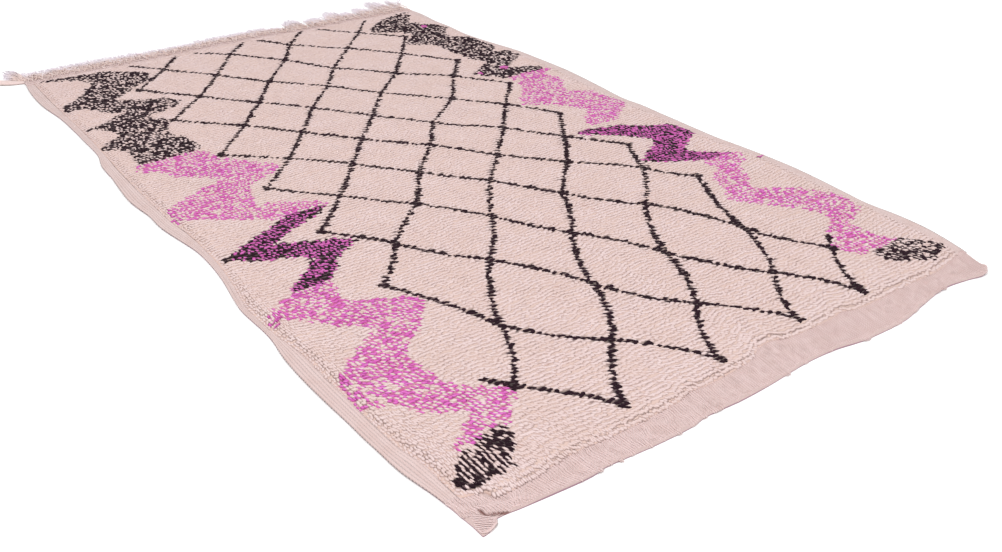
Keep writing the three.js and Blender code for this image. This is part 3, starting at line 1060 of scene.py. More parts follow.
@dataclass(frozen=True)
class Matt:
    """How a woolly surface takes light."""

    roughness: float
    sheen: float
    specular: float
    sheen_roughness: float = 0.5

    def set_on(self, shader: bpy.types.Node) -> None:
        """Sets the numbers on a shader's own sockets."""
        values = {"Roughness": self.roughness, "Sheen Weight": self.sheen,
                  "Sheen Roughness": self.sheen_roughness, "Specular IOR Level": self.specular}
        for socket, value in values.items():
            shader.inputs[socket].default_value = value


@dataclass
class NodeSheet:
    """Adds nodes to a shader tree and joins them."""

    tree: bpy.types.NodeTree

    def add(self, kind: str, inputs: dict[int | str, Input] | None = None, **settings: object) -> bpy.types.Node:
        """Adds a node.

        Args:
            kind: The node's type, without its ShaderNode start.
            inputs: What goes into its sockets, by name or number: a value or another node's output.
            **settings: The node's own settings.

        Returns:
            The node.
        """
        node = self.tree.nodes.new(kind if kind.startswith("NodeGroup") else f"ShaderNode{kind}")
        for label, value in settings.items():
            setattr(node, label, value)
        for socket, value in (inputs or {}).items():
            if isinstance(value, bpy.types.NodeSocket):
                self.tree.links.new(value, node.inputs[socket])
            else:
                node.inputs[socket].default_value = value
        return node

    def math(self, operation: str, first: Input, second: Input = 0.5, third: Input = 0.0) -> bpy.types.NodeSocket:
        """Adds a calculation and gives its result."""
        return self.add("Math", {0: first, 1: second, 2: third}, operation=operation).outputs[0]

    def mix(self, share: Input, first: Input, second: Input) -> bpy.types.NodeSocket:
        """Mixes two colours and gives the result."""
        node = self.add("Mix", {0: share, 6: first, 7: second}, data_type="RGBA")
        return node.outputs[2]

    def between(self, value: Input, low: float, high: float) -> bpy.types.NodeSocket:
        """Gives 0 up to the low value, 1 from the high value on, and a soft rise between them."""
        node = self.add("MapRange", {0: value, 1: low, 2: high}, interpolation_type="SMOOTHSTEP")
        return node.outputs[0]

    def group(self, tree: bpy.types.NodeTree, inputs: dict[str, Input]) -> bpy.types.Node:
        """Adds a node group with its inputs."""
        return self.add("Group", inputs, node_tree=tree)

    def mark(self, label: str, output: str = "Fac") -> bpy.types.NodeSocket:
        """Reads a mark that the mesh's points hold."""
        return self.add("Attribute", attribute_name=label).outputs[output]

    def inverse(self, value: Input) -> bpy.types.NodeSocket:
        """Gives what a value lacks to 1."""
        return self.math("SUBTRACT", 1.0, value)

    def cover(self, shader: bpy.types.Node, colour: Input, bump: Bump, height: Input) -> None:
        """Joins a colour and a bump to a shader.

        Args:
            shader: The shader.
            colour: The colour.
            bump: How deep the bump is.
            height: The height that it shows.
        """
        inputs = {"Height": height, "Strength": bump.strength, "Distance": bump.depth}
        self.tree.links.new(colour, shader.inputs["Base Color"])
        self.tree.links.new(self.add("Bump", inputs).outputs[0], shader.inputs["Normal"])


def new_group(name: str, inputs: dict[str, str], outputs: dict[str, str]) -> tuple[NodeSheet, bpy.types.Node]:
    """Starts a shader node group.

    Args:
        name: The group's name.
        inputs: The kind of each input socket.
        outputs: The kind of each output socket.

    Returns:
        The group's sheet and the node that holds its inputs.
    """
    tree = bpy.data.node_groups.new(name, "ShaderNodeTree")
    for label, kind in inputs.items():
        tree.interface.new_socket(name=label, in_out="INPUT", socket_type=f"NodeSocket{kind}")
    for label, kind in outputs.items():
        tree.interface.new_socket(name=label, in_out="OUTPUT", socket_type=f"NodeSocket{kind}")
    sheet = NodeSheet(tree)
    return sheet, sheet.add("NodeGroupInput")


@dataclass
class WoolEffects:
    """The shader node groups that the rug's finishes share.

    Attributes:
        fibre_band: The noise values between which the fibres' shade rises from 0 to 1.
        groove_band: The same for the grooves between the plies.
        warm_band: The same for the warm patches.
        dull_band: The same for the dull ones.
        dull_move: How far the dull patches are moved from the warm ones.
    """

    fibres: bpy.types.NodeTree = field(init=False)
    twist: bpy.types.NodeTree = field(init=False)
    handspun: bpy.types.NodeTree = field(init=False)
    fibre_band: tuple[float, float] = (0.3, 0.72)
    groove_band: tuple[float, float] = (0.05, 0.5)
    warm_band: tuple[float, float] = (0.35, 0.65)
    dull_band: tuple[float, float] = (0.42, 0.72)
    dull_move: tuple[float, float, float] = (3.1, 1.7, 0.9)
    dull_fineness: float = 3.0

    def __post_init__(self) -> None:
        """Builds the groups once."""
        self.fibres = self.build_fibres()
        self.twist = self.build_twist()
        self.handspun = self.build_handspun()

    def grain(self, sheet: NodeSheet, place: Input, grain: Grain) -> bpy.types.NodeOutputs:
        """Adds fibres to a material and gives their outputs."""
        inputs = {"Map": place, "Fineness": grain.fineness, "Stretch": grain.stretch}
        return sheet.group(self.fibres, inputs).outputs

    def build_fibres(self) -> bpy.types.NodeTree:
        """Builds the fibres: a shade from 0 to 1 and a height.

        Returns:
            The group.
        """
        sheet, given = new_group(
            "wool fibres", {"Map": "Vector", "Fineness": "Float", "Stretch": "Float"},
            {"Shade": "Float", "Height": "Float"})
        parts = sheet.add("SeparateXYZ", {0: given.outputs["Map"]})
        across = sheet.math("MULTIPLY", parts.outputs[0], given.outputs["Fineness"])
        slow = sheet.math("DIVIDE", given.outputs["Fineness"], given.outputs["Stretch"])
        along = sheet.math("MULTIPLY", parts.outputs[1], slow)
        place = sheet.add("CombineXYZ", {0: across, 1: along})
        noise = sheet.add("TexNoise", {"Vector": place.outputs[0], "Scale": 1.0, "Detail": 2.0, "Roughness": 0.6})
        shade = sheet.between(noise.outputs[0], *self.fibre_band)
        sheet.add("NodeGroupOutput", {"Shade": shade, "Height": noise.outputs[0]})
        return sheet.tree

    def build_twist(self) -> bpy.types.NodeTree:
        """Builds the plies: grooves that wind round the yarn.

        Returns:
            The group.
        """
        sheet, given = new_group(
            "yarn twist", {"Map": "Vector", "Girth": "Float", "Pitch": "Float", "Plies": "Float"},
            {"Groove": "Float", "Height": "Float"})
        parts = sheet.add("SeparateXYZ", {0: given.outputs["Map"]})
        around = sheet.math("DIVIDE", parts.outputs[0], given.outputs["Girth"])
        around = sheet.math("MULTIPLY", around, given.outputs["Plies"])
        along = sheet.math("DIVIDE", parts.outputs[1], given.outputs["Pitch"])
        turns = sheet.math("MULTIPLY", sheet.math("ADD", around, along), math.tau)
        wave = sheet.math("MULTIPLY_ADD", sheet.math("SINE", turns, 0.0), 0.5, 0.5)
        # Where the grooves between the plies get painted shade
        groove_shade = sheet.inverse(sheet.between(wave, *self.groove_band))
        sheet.add("NodeGroupOutput", {"Groove": groove_shade, "Height": wave})
        return sheet.tree

    def build_handspun(self) -> bpy.types.NodeTree:
        """Builds the patches of hand-spun wool, warm ones and dull ones.

        Returns:
            The group.
        """
        sheet, given = new_group(
            "handspun patches", {"Place": "Vector", "Patch": "Float"}, {"Warm": "Float", "Dull": "Float"})
        scale = sheet.math("DIVIDE", 1.0, given.outputs["Patch"])
        broad = sheet.add("TexNoise", {"Vector": given.outputs["Place"], "Scale": scale, "Detail": 3.0})
        moved = sheet.add("VectorMath", {0: given.outputs["Place"], 1: self.dull_move}, operation="ADD")
        fine = sheet.math("MULTIPLY", scale, self.dull_fineness)
        close = sheet.add("TexNoise", {"Vector": moved.outputs[0], "Scale": fine, "Detail": 2.0})
        sheet.add("NodeGroupOutput", {"Warm": sheet.between(broad.outputs[0], *self.warm_band),
                                      "Dull": sheet.between(close.outputs[0], *self.dull_band)})
        return sheet.tree


def linear(value: float) -> float:
    """Undoes the screen's curve for one colour number from 0 to 255."""
    share = value / 255
    return share / 12.92 if share <= 0.04045 else ((share + 0.055) / 1.055) ** 2.4


def rgb(red: float, green: float, blue: float) -> Colour:
    """Turns screen colour numbers from 0 to 255 into the linear colour that shaders take."""
    return linear(red), linear(green), linear(blue), 1.0


# Painted shade: the colour of the cloth and its yarns in the dark of a fold
TROUGH_SHADE = rgb(120, 78, 72)


def new_material(name: str) -> tuple[bpy.types.Material, NodeSheet, bpy.types.Node]:
    """Starts a material.

    Args:
        name: The material's name.

    Returns:
        The material, its sheet and its shader node.
    """
    material = bpy.data.materials.new(name)
    material.use_nodes = True
    sheet = NodeSheet(material.node_tree)
    return material, sheet, material.node_tree.nodes["Principled BSDF"]


@dataclass(frozen=True)
class PileWool:
    """The finish of the pile's locks in one yarn.

    Attributes:
        root: Painted shade down between the locks and over their buried roots.
        warm: The colour that patches drift towards.
        valley_shade_share: How strongly that painted shade shows between the locks.
        fleck_shade: How much more painted shade shows on locks of tone 0.
        shade_shares: How much the tone, the fibres and the strands count in a lock's shade.
        low: The heights between which a lock's side rises out of the painted shade.
        buried_shade: The shares of its length between which its root comes out of the painted shade.
    """

    slot: str
    light: Colour
    deep: Colour
    root: Colour
    warm: Colour
    matt: Matt = Matt(roughness=0.92, sheen=0.03, specular=0.15, sheen_roughness=0.6)
    patch: float = 0.22
    patch_share: float = 0.35
    valley_shade_share: float = 0.32
    fleck_shade: float = 0.4
    fibres: Grain = Grain(1500.0, 7.0)
    strands: Grain = Grain(360.0, 3.0)
    shade_shares: tuple[float, float, float] = (0.5, 0.15, 0.35)
    low: tuple[float, float] = (0.3, 0.95)
    buried_shade: tuple[float, float] = (0.1, 0.42)
    fleck_tone: float = 0.08
    bump: Bump = Bump(0.0005, 0.5)

    def material(self, effects: WoolEffects) -> bpy.types.Material:
        """Builds the material.

        Args:
            effects: The shared node groups.

        Returns:
            The material.
        """
        material, sheet, shader = new_material(f"{self.slot}_pile")
        grain = sheet.add("UVMap", uv_map="Yarn").outputs[0]
        place = sheet.add("TexCoord").outputs["Object"]
        tone = sheet.mark("tone")
        fibres = effects.grain(sheet, grain, self.fibres)
        strands = effects.grain(sheet, grain, self.strands)
        patches = sheet.group(effects.handspun, {"Place": place, "Patch": self.patch})
        by_tone, by_fibre, by_strand = self.shade_shares
        shade = sheet.math("MULTIPLY_ADD", fibres["Shade"], by_fibre, sheet.math("MULTIPLY", tone, by_tone))
        shade = sheet.math("MULTIPLY_ADD", strands["Shade"], by_strand, shade)
        drift = sheet.math("MULTIPLY", patches.outputs["Warm"], self.patch_share)
        colour = sheet.mix(drift, sheet.mix(shade, self.deep, self.light), self.warm)
        # Painted shade: the root colour on each lock's low sides and tip and on its buried root, more on flecked
        # locks
        low = sheet.inverse(sheet.between(sheet.mark("crown"), *self.low))
        buried_shade = sheet.inverse(sheet.between(sheet.mark("reach"), *self.buried_shade))
        fleck_shade = sheet.inverse(sheet.between(tone, 0.0, self.fleck_tone))
        share = sheet.math("MULTIPLY_ADD", fleck_shade, self.fleck_shade, self.valley_shade_share)
        valley = sheet.math("MULTIPLY", sheet.math("MAXIMUM", low, buried_shade), share)
        sheet.cover(shader, sheet.mix(valley, colour, self.root), self.bump, fibres["Height"])
        self.matt.set_on(shader)
        return material


@dataclass(frozen=True)
class BedWool:
    """The finish of the closed wool under the locks: each knot's yarn colour darkened with painted shade, and
    painted shade at the pile's border.
    """

    slot: str = "cream_wool"
    # rim: painted shade along the pile's border; the fibres also drift towards it
    rim: Colour = rgb(202, 174, 164)
    fibres: Grain = Grain(900.0, 3.0)
    fibre_share: float = 0.12
    bump: Bump = Bump(0.0008, 0.6)
    matt: Matt = Matt(roughness=0.95, sheen=0.2, specular=0.1)

    def material(self, effects: WoolEffects) -> bpy.types.Material:
        """Builds the material.

        Args:
            effects: The shared node groups.

        Returns:
            The material.
        """
        material, sheet, shader = new_material("pile_bed_wool")
        fibres = effects.grain(sheet, sheet.add("TexCoord").outputs["Object"], self.fibres)
        shade = sheet.math("MULTIPLY", fibres["Shade"], self.fibre_share)
        colour = sheet.mix(shade, sheet.mark("yarn", "Color"), self.rim)
        # Painted shade along the pile's border
        colour = sheet.mix(sheet.mark("rim"), colour, self.rim)
        sheet.cover(shader, colour, self.bump, fibres["Height"])
        self.matt.set_on(shader)
        return material


@dataclass(frozen=True)
class WarpWool:
    """The finish of twisted warp yarn, in the flat bands, the selvedges, the fringe and the tail.

    Attributes:
        girth: How far round the yarn is, in metres.
        pitch: How far one turn of its twist reaches, in metres.
        gap_shade_share: How much painted shade a yarn gets low at its sides.
        gap_range: The heights between which it rises out of that painted shade.
        clump: How much stronger that painted shade is in clumps.
        tip_highlight_range: The shares of the yarn's length between which its painted highlight comes in.
    """

    name: str
    light: Colour
    deep: Colour
    # Painted shade in the grooves between the plies and between the yarns
    groove_shade: Colour
    stain: Colour
    stain_share: float
    girth: float
    pitch: float
    depth: float
    twist_share: float
    gap_shade_share: float
    gap_range: tuple[float, float] = (0.25, 0.6)
    clump: float = 0.0
    clump_size: float = 0.035
    # tip: a painted highlight towards the yarn's end
    tip: Colour = rgb(240, 232, 244)
    tip_highlight_share: float = 0.0
    tip_highlight_range: tuple[float, float] = (0.3, 0.9)
    # How strongly painted shade darkens the yarn in the dark of a trough
    trough_shade_share: float = 0.9
    fibres: Grain = Grain(1800.0, 5.0)
    shade_shares: tuple[float, float] = (0.6, 0.4)
    patch: float = 0.12
    fibre_relief: float = 0.3
    relief: float = 0.8
    slot: str = "cream_wool"
    matt: Matt = Matt(roughness=0.93, sheen=0.25, specular=0.2, sheen_roughness=0.6)

    def material(self, effects: WoolEffects) -> bpy.types.Material:
        """Builds the material.

        Args:
            effects: The shared node groups.

        Returns:
            The material.
        """
        material, sheet, shader = new_material(self.name)
        grain = sheet.add("UVMap", uv_map="Yarn").outputs[0]
        place = sheet.add("TexCoord").outputs["Object"]
        plies = {"Map": grain, "Girth": self.girth, "Pitch": self.pitch, "Plies": 2.0}
        twist = sheet.group(effects.twist, plies).outputs
        fibres = effects.grain(sheet, grain, self.fibres)
        patches = sheet.group(effects.handspun, {"Place": place, "Patch": self.patch}).outputs
        clumps = sheet.group(effects.handspun, {"Place": place, "Patch": self.clump_size}).outputs
        by_tone, by_fibre = self.shade_shares
        tone = sheet.math("MULTIPLY", sheet.mark("tone"), by_tone)
        colour = sheet.mix(sheet.math("MULTIPLY_ADD", fibres["Shade"], by_fibre, tone), self.deep, self.light)
        colour = sheet.mix(sheet.math("MULTIPLY", patches["Dull"], self.stain_share), colour, self.stain)
        # Painted highlight towards the end of the yarn
        reach = sheet.between(sheet.mark("reach"), *self.tip_highlight_range)
        colour = sheet.mix(sheet.math("MULTIPLY", reach, self.tip_highlight_share), colour, self.tip)
        # Painted shade in the ply grooves and low at the yarns' sides
        low = sheet.inverse(sheet.between(sheet.mark("crown"), *self.gap_range))
        gap = sheet.math("MULTIPLY_ADD", clumps["Warm"], self.clump, self.gap_shade_share)
        groove_shade = sheet.math("MULTIPLY", twist["Groove"], self.twist_share)
        groove_shade = sheet.math("MAXIMUM", groove_shade, sheet.math("MULTIPLY", low, gap))
        colour = sheet.mix(groove_shade, colour, self.groove_shade)
        # Painted shade in the dark of a trough
        colour = sheet.mix(sheet.math("MULTIPLY", sheet.mark("dark"), self.trough_shade_share), colour, TROUGH_SHADE)
        height = sheet.math("MULTIPLY_ADD", fibres["Height"], self.fibre_relief, twist["Height"])
        sheet.cover(shader, colour, Bump(self.depth, self.relief), height)
        self.matt.set_on(shader)
        return material


@dataclass(frozen=True)
class GroundCloth:
    """The finish of the woven ground: fine weft over fine warp, with painted shade under the pile's border, in
    troughs and on its side wall.
    """

    slot: str = "cream_wool"
    light: Colour = rgb(203, 181, 178)
    deep: Colour = rgb(188, 163, 158)
    # Painted shade where the pile covers the cloth and along its border
    under_pile_shade: Colour = rgb(188, 158, 149)
    # hem: painted shade on the cloth's side wall, strongest at its foot
    hem: Colour = rgb(150, 114, 128)
    warp_pitch: float = 0.0026
    weft_pitch: float = 0.0035
    fibres: Grain = Grain(700.0, 3.0)
    weave_share: float = 0.25
    shade_range: tuple[float, float] = (-0.2, 1.2)
    patch: float = 0.15
    patch_share: float = 0.2
    foot_shade_range: tuple[float, float] = (0.1, 0.7)
    bump: Bump = Bump(0.0004, 0.7)
    matt: Matt = Matt(roughness=0.95, sheen=0.2, specular=0.2)

    def material(self, effects: WoolEffects) -> bpy.types.Material:
        """Builds the material.

        Args:
            effects: The shared node groups.

        Returns:
            The material.
        """
        material, sheet, shader = new_material("woven_ground_cloth")
        grain = sheet.add("UVMap", uv_map="Weave").outputs[0]
        place = sheet.add("TexCoord").outputs["Object"]
        parts = sheet.add("SeparateXYZ", {0: grain})
        warp = sheet.math("SINE", sheet.math("MULTIPLY", parts.outputs[0], math.tau / self.warp_pitch), 0.0)
        weft = sheet.math("SINE", sheet.math("MULTIPLY", parts.outputs[1], math.tau / self.weft_pitch), 0.0)
        weave = sheet.math("MULTIPLY", warp, weft)
        fibres = effects.grain(sheet, grain, self.fibres)
        patches = sheet.group(effects.handspun, {"Place": place, "Patch": self.patch}).outputs
        shade = sheet.math("MULTIPLY_ADD", weave, self.weave_share, fibres["Shade"])
        colour = sheet.mix(sheet.between(shade, *self.shade_range), self.deep, self.light)
        colour = sheet.mix(sheet.math("MULTIPLY", patches["Warm"], self.patch_share), colour, self.deep)
        # Painted shade under and beside the pile
        colour = sheet.mix(sheet.mark("under_pile_shade"), colour, self.under_pile_shade)
        # Painted shade in the dark of a trough
        colour = sheet.mix(sheet.mark("dark"), colour, TROUGH_SHADE)
        # Painted shade on the side wall towards its foot
        colour = sheet.mix(sheet.between(sheet.mark("foot"), *self.foot_shade_range), colour, self.hem)
        sheet.cover(shader, colour, self.bump, weave)
        self.matt.set_on(shader)
        return material


# The finishes of this rug

# Each yarn's root colour is painted shade down between the locks
PILE_FINISHES = {
    Yarn.CREAM: PileWool("cream_wool", light=rgb(219, 201, 200), deep=rgb(204, 182, 180), root=rgb(198, 158, 143),
                         warm=rgb(207, 184, 178), patch=0.08, patch_share=0.5),
    Yarn.CHARCOAL: PileWool("charcoal_wool", light=rgb(54, 33, 43), deep=rgb(30, 16, 24), root=rgb(16, 8, 13),
                            warm=rgb(42, 29, 33), matt=Matt(0.92, 0.01, 0.05, 0.6)),
    Yarn.PINK: PileWool("pink_wool", light=rgb(221, 136, 207), deep=rgb(184, 56, 148), root=rgb(140, 24, 96),
                        warm=rgb(208, 98, 176), patch=0.09, patch_share=0.5, valley_shade_share=0.55),
    Yarn.MAGENTA: PileWool("magenta_wool", light=rgb(218, 126, 196), deep=rgb(178, 64, 142), root=rgb(90, 16, 62),
                           warm=rgb(196, 84, 166)),
}
# The yarns' colours down in the gaps between the locks, mostly darkened with painted shade
SHADED_BED_COLOURS = {
    Yarn.CREAM: rgb(203, 177, 168),
    Yarn.CHARCOAL: rgb(28, 17, 23),
    Yarn.PINK: rgb(180, 74, 130),
    Yarn.MAGENTA: rgb(96, 24, 74),
}
BAND_YARN = WarpWool("band_warp_yarn", light=rgb(222, 201, 201), deep=rgb(208, 184, 182),
                     groove_shade=rgb(188, 150, 140), stain=rgb(204, 177, 171), stain_share=0.3, girth=0.0085, pitch=0.007, depth=0.0003,
                     twist_share=0.5, gap_shade_share=0.25, clump=0.8)
SELVEDGE_YARN = WarpWool("selvedge_cord", light=rgb(209, 187, 184), deep=rgb(198, 173, 169),
                         groove_shade=rgb(182, 154, 149), stain=rgb(196, 168, 162), stain_share=0.5, girth=0.018,
                         pitch=0.009, depth=0.0004, twist_share=0.15, gap_shade_share=0.0)
FRINGE_YARN = WarpWool("fringe_yarn", light=rgb(230, 210, 206), deep=rgb(220, 197, 191),
                       groove_shade=rgb(204, 172, 156), stain=rgb(208, 176, 160), stain_share=0.35, girth=0.009, pitch=0.008, depth=0.0004,
                       twist_share=0.12, gap_shade_share=0.15, tip_highlight_share=0.85)
TAIL_WOOL = WarpWool("corner_tail_wool", light=rgb(220, 199, 196), deep=rgb(206, 182, 178),
                     groove_shade=rgb(186, 158, 148), stain=rgb(200, 174, 164), stain_share=0.3, girth=0.036, pitch=0.02, depth=0.0003,
                     twist_share=0.12, gap_shade_share=0.2)


# The rug's pieces

# The least height of a yarn's underside over the floor, in millimetres
LOWEST = 0.2


def dress(piece: bpy.types.Object, material: bpy.types.Material, slot: str, *nodes: str) -> bpy.types.Object:
    """Gives a piece its finish and says what it rides on and replaces.

    Args:
        piece: The piece.
        material: Its material.
        slot: The record's material slot; not used.
        *nodes: The solids that it stands for.

    Returns:
        The piece.
    """
    piece.data.materials.clear()
    piece.data.materials.append(material)
    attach(piece, "root")
    if nodes:
        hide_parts(*nodes)
    LOG.info("%s: %d triangles", piece.name, sum(len(face.vertices) - 2 for face in piece.data.polygons))
    return piece


@dataclass(frozen=True)
class YarnWork:
    """Lays strands of one yarn along paths."""

    finish: WarpWool | PileWool
    effects: WoolEffects

    def lay(self, name: str, sides: int, paths: np.ndarray, width: np.ndarray, height: np.ndarray,
            tone: np.ndarray, dark: np.ndarray | None = None, stands_for: tuple[str, ...] = ()) -> bpy.types.Object:
        """Lays one strand along each path and dresses them as one piece.

        Args:
            name: The piece's name.
            sides: How many sides a strand has.
            paths: The points under each strand, in metres.
            width: How wide each strand is there, in millimetres.
            height: How high it is there.
            tone: The shade of each strand.
            dark: How much painted trough shade each point gets.
            stands_for: The solids that the piece stands for.

        Returns:
            The piece.
        """
        strand = StrandModel(sides, paths.shape[1] - 1).build()
        copies = laid(strand, paths, width * MM, height * MM, tone, dark)
        material = self.finish.material(self.effects)
        return dress(copies.mesh_object(name), material, self.finish.slot, *stands_for)


def drop_maps(piece: bpy.types.Object) -> None:
    """Takes away the map that a new grid comes with."""
    for old in list(piece.data.uv_layers):
        piece.data.uv_layers.remove(old)


def read_points(piece: bpy.types.Object) -> np.ndarray:
    """Reads a piece's points."""
    points = np.empty(len(piece.data.vertices) * 3, np.float32)
    piece.data.vertices.foreach_get("co", points)
    return points.reshape(-1, 3).astype(float)


def write_points(piece: bpy.types.Object, points: np.ndarray) -> None:
    """Moves a piece's points."""
    piece.data.vertices.foreach_set("co", points.reshape(-1).astype(np.float32))
    piece.data.update()


@dataclass
class Ground:
    """The woven ground cloth that carries everything else.

    Attributes:
        near_rows: The share of the rows that lies in the folded near end, and that end's share of the length.
        left_columns: The same for the columns at the folded near left corner.
        flat_width: The width it was woven to, in metres.
        flat_length: The length it was woven to.
        shade_width: How wide the pile's painted shade on the cloth runs out at its border, in millimetres.
    """

    plan: RugPlan
    columns: int = 130
    rows: int = 150
    near_rows: tuple[float, float] = (0.17, 0.04)
    left_columns: tuple[float, float] = (0.2, 0.06)
    flat_width: float = 1.56
    flat_length: float = 2.65
    shade_width: float = 10.0
    smooth_angle: float = 50.0

    def build(self, finish: GroundCloth, effects: WoolEffects) -> bpy.types.Object:
        """Weaves the cloth: a grid moved to the outline and its folds, given a thickness down to the floor.

        Args:
            finish: The cloth's finish.
            effects: The shared node groups.

        Returns:
            The cloth.
        """
        deselect_all()
        bpy.ops.mesh.primitive_grid_add(x_subdivisions=self.columns, y_subdivisions=self.rows, size=2)
        cloth = bpy.context.object
        cloth.name = "woven_ground"
        flat = read_points(cloth)
        side = self.spaced((flat[:, 0] + 1) / 2, self.left_columns)
        end = self.spaced((flat[:, 1] + 1) / 2, self.near_rows)
        across, along = self.plan.cloth_place(side, end)
        rim = (side < TINY) | (side > 1 - TINY) | (end < TINY) | (end > 1 - TINY)
        top = self.plan.cloth_top(across, along) - np.where(rim, self.plan.cloth_thick - self.plan.edge_thick, 0)
        face = self.plan.to_frame(across, along, top)
        write_points(cloth, face)
        self.add_weave_map(cloth, side, end)
        modifier = cloth.modifiers.new("thickness", "SOLIDIFY")
        modifier.thickness = self.plan.edge_thick * MM
        modifier.offset = -1
        bpy.ops.object.modifier_apply(modifier=modifier.name)
        foot = self.plan.to_frame(across, along, self.plan.lift(across, along))
        write_points(cloth, np.concatenate([face, foot]))
        self.mark(cloth, np.concatenate([across, across]), np.concatenate([along, along]))
        bpy.ops.object.shade_smooth_by_angle(angle=math.radians(self.smooth_angle))
        cloth.data.update()
        return dress(cloth, finish.material(effects), finish.slot, "woven_rug")

    @staticmethod
    def spaced(share: np.ndarray, crowd: tuple[float, float]) -> np.ndarray:
        """Spaces rows or columns closer together where the cloth has its small folds."""
        return np.interp(share, (0, crowd[0], 1), (0, crowd[1], 1))

    def add_weave_map(self, cloth: bpy.types.Object, side: np.ndarray, end: np.ndarray) -> None:
        """Adds a map in real lengths that follows the cloth's edges.

        Args:
            cloth: The cloth.
            side: Each point's share of the width.
            end: Each point's share of the length.
        """
        corners = np.empty(len(cloth.data.loops), np.int32)
        cloth.data.loops.foreach_get("vertex_index", corners)
        values = np.stack([side[corners] * self.flat_width, end[corners] * self.flat_length], axis=-1)
        drop_maps(cloth)
        layer = cloth.data.uv_layers.new(name="Weave")
        layer.data.foreach_set("uv", values.reshape(-1).astype(np.float32))

    def mark(self, cloth: bpy.types.Object, across: np.ndarray, along: np.ndarray) -> None:
        """Marks where the pile covers the cloth and where a trough lies, both for painted shade, and which points
        are its foot, whose side wall gets painted shade.

        Args:
            cloth: The cloth.
            across: How far across each point is.
            along: How far along it is.
        """
        painted_pile_shade = np.clip(self.plan.in_pile(across, along) / self.shade_width + 0.5, 0, 1)
        # The foot points, towards which the finish paints shade on the side wall
        foot = np.arange(len(across)) >= len(across) // 2
        add_mark(cloth.data, "under_pile_shade", painted_pile_shade)
        add_mark(cloth.data, "dark", self.plan.crease_shade(across, along))
        add_mark(cloth.data, "foot", foot)


@dataclass
class PileBed:
    """The closed wool that the locks grow from, a low cushion with round borders. Lengths in millimetres.

    Attributes:
        crowding: How much closer its faces are at the borders: 0 for evenly spaced, below 1.
        slope_drop: How far the middle of its rounded border lies lower than the locks' tops do.
    """

    plan: RugPlan
    columns: int = 120
    rows: int = 170
    bottom: float = 1.2
    crowding: float = 0.7
    slope_drop: float = 1.0
    rim_shade_width: float = 6.0
    smooth_angle: float = 50.0

    def build(self, yarns: np.ndarray, effects: WoolEffects) -> bpy.types.Object:
        """Makes the cushion: a grid closed by a skirt and a floor, then moved to the pile's shape.

        Args:
            yarns: The number of each knot's yarn, row by row.
            effects: The shared node groups.

        Returns:
            The bed.
        """
        deselect_all()
        bpy.ops.mesh.primitive_grid_add(x_subdivisions=self.columns, y_subdivisions=self.rows, size=2)
        bed = bpy.context.object
        bed.name = "pile_bed"
        bpy.ops.object.mode_set(mode="EDIT")
        bpy.ops.mesh.select_all(action="SELECT")
        bpy.ops.mesh.region_to_loop()
        bpy.ops.mesh.extrude_edges_move(TRANSFORM_OT_translate={"value": (0, 0, -1)})
        bpy.ops.mesh.edge_face_add()
        bpy.ops.mesh.select_all(action="SELECT")
        bpy.ops.mesh.normals_make_consistent(inside=False)
        bpy.ops.object.mode_set(mode="OBJECT")
        flat = read_points(bed)
        side, end = self.crowded((flat[:, 0] + 1) / 2), self.crowded((flat[:, 1] + 1) / 2)
        across, along = self.plan.pile_place(side, end)
        slope = np.clip(self.plan.in_pile(across, along) / self.plan.shoulder, 0, 1)
        top = self.plan.bed_top(across, along) - self.slope_drop * 4 * slope * (1 - slope)
        height = np.where(flat[:, 2] < -0.5, self.bottom, top)
        write_points(bed, self.plan.to_frame(across, along, height))
        drop_maps(bed)
        self.colour(bed, yarns, side, end)
        # The rim mark says where the bed gets painted shade along its border
        add_mark(bed.data, "rim", 1 - np.clip(self.plan.in_pile(across, along) / self.rim_shade_width, 0, 1))
        bpy.ops.object.shade_smooth_by_angle(angle=math.radians(self.smooth_angle))
        finish = BedWool()
        return dress(bed, finish.material(effects), finish.slot)

    @staticmethod
    def colour(bed: bpy.types.Object, yarns: np.ndarray, side: np.ndarray, end: np.ndarray) -> None:
        """Gives each point the colour between the two knots beside it.

        Args:
            bed: The bed.
            yarns: The number of each knot's yarn, row by row.
            side: Each point's share of the pile's width.
            end: Its share of the pile's length.
        """
        colours = np.array([SHADED_BED_COLOURS[yarn] for yarn in Yarn])
        row = np.clip((end * yarns.shape[0]).astype(int), 0, yarns.shape[0] - 1)
        column = np.clip(np.rint(side * yarns.shape[1]).astype(int), 1, yarns.shape[1] - 1)
        shades = np.sqrt(colours[yarns[row, column - 1]] * colours[yarns[row, column]])
        mark = bed.data.attributes.new("yarn", "FLOAT_COLOR", "POINT")
        mark.data.foreach_set("color", shades.reshape(-1).astype(np.float32))

    def crowded(self, share: np.ndarray) -> np.ndarray:
        """Spaces the grid closer together at its borders, where the cushion rounds off."""
        return share - self.crowding * np.sin(math.tau * share) / math.tau


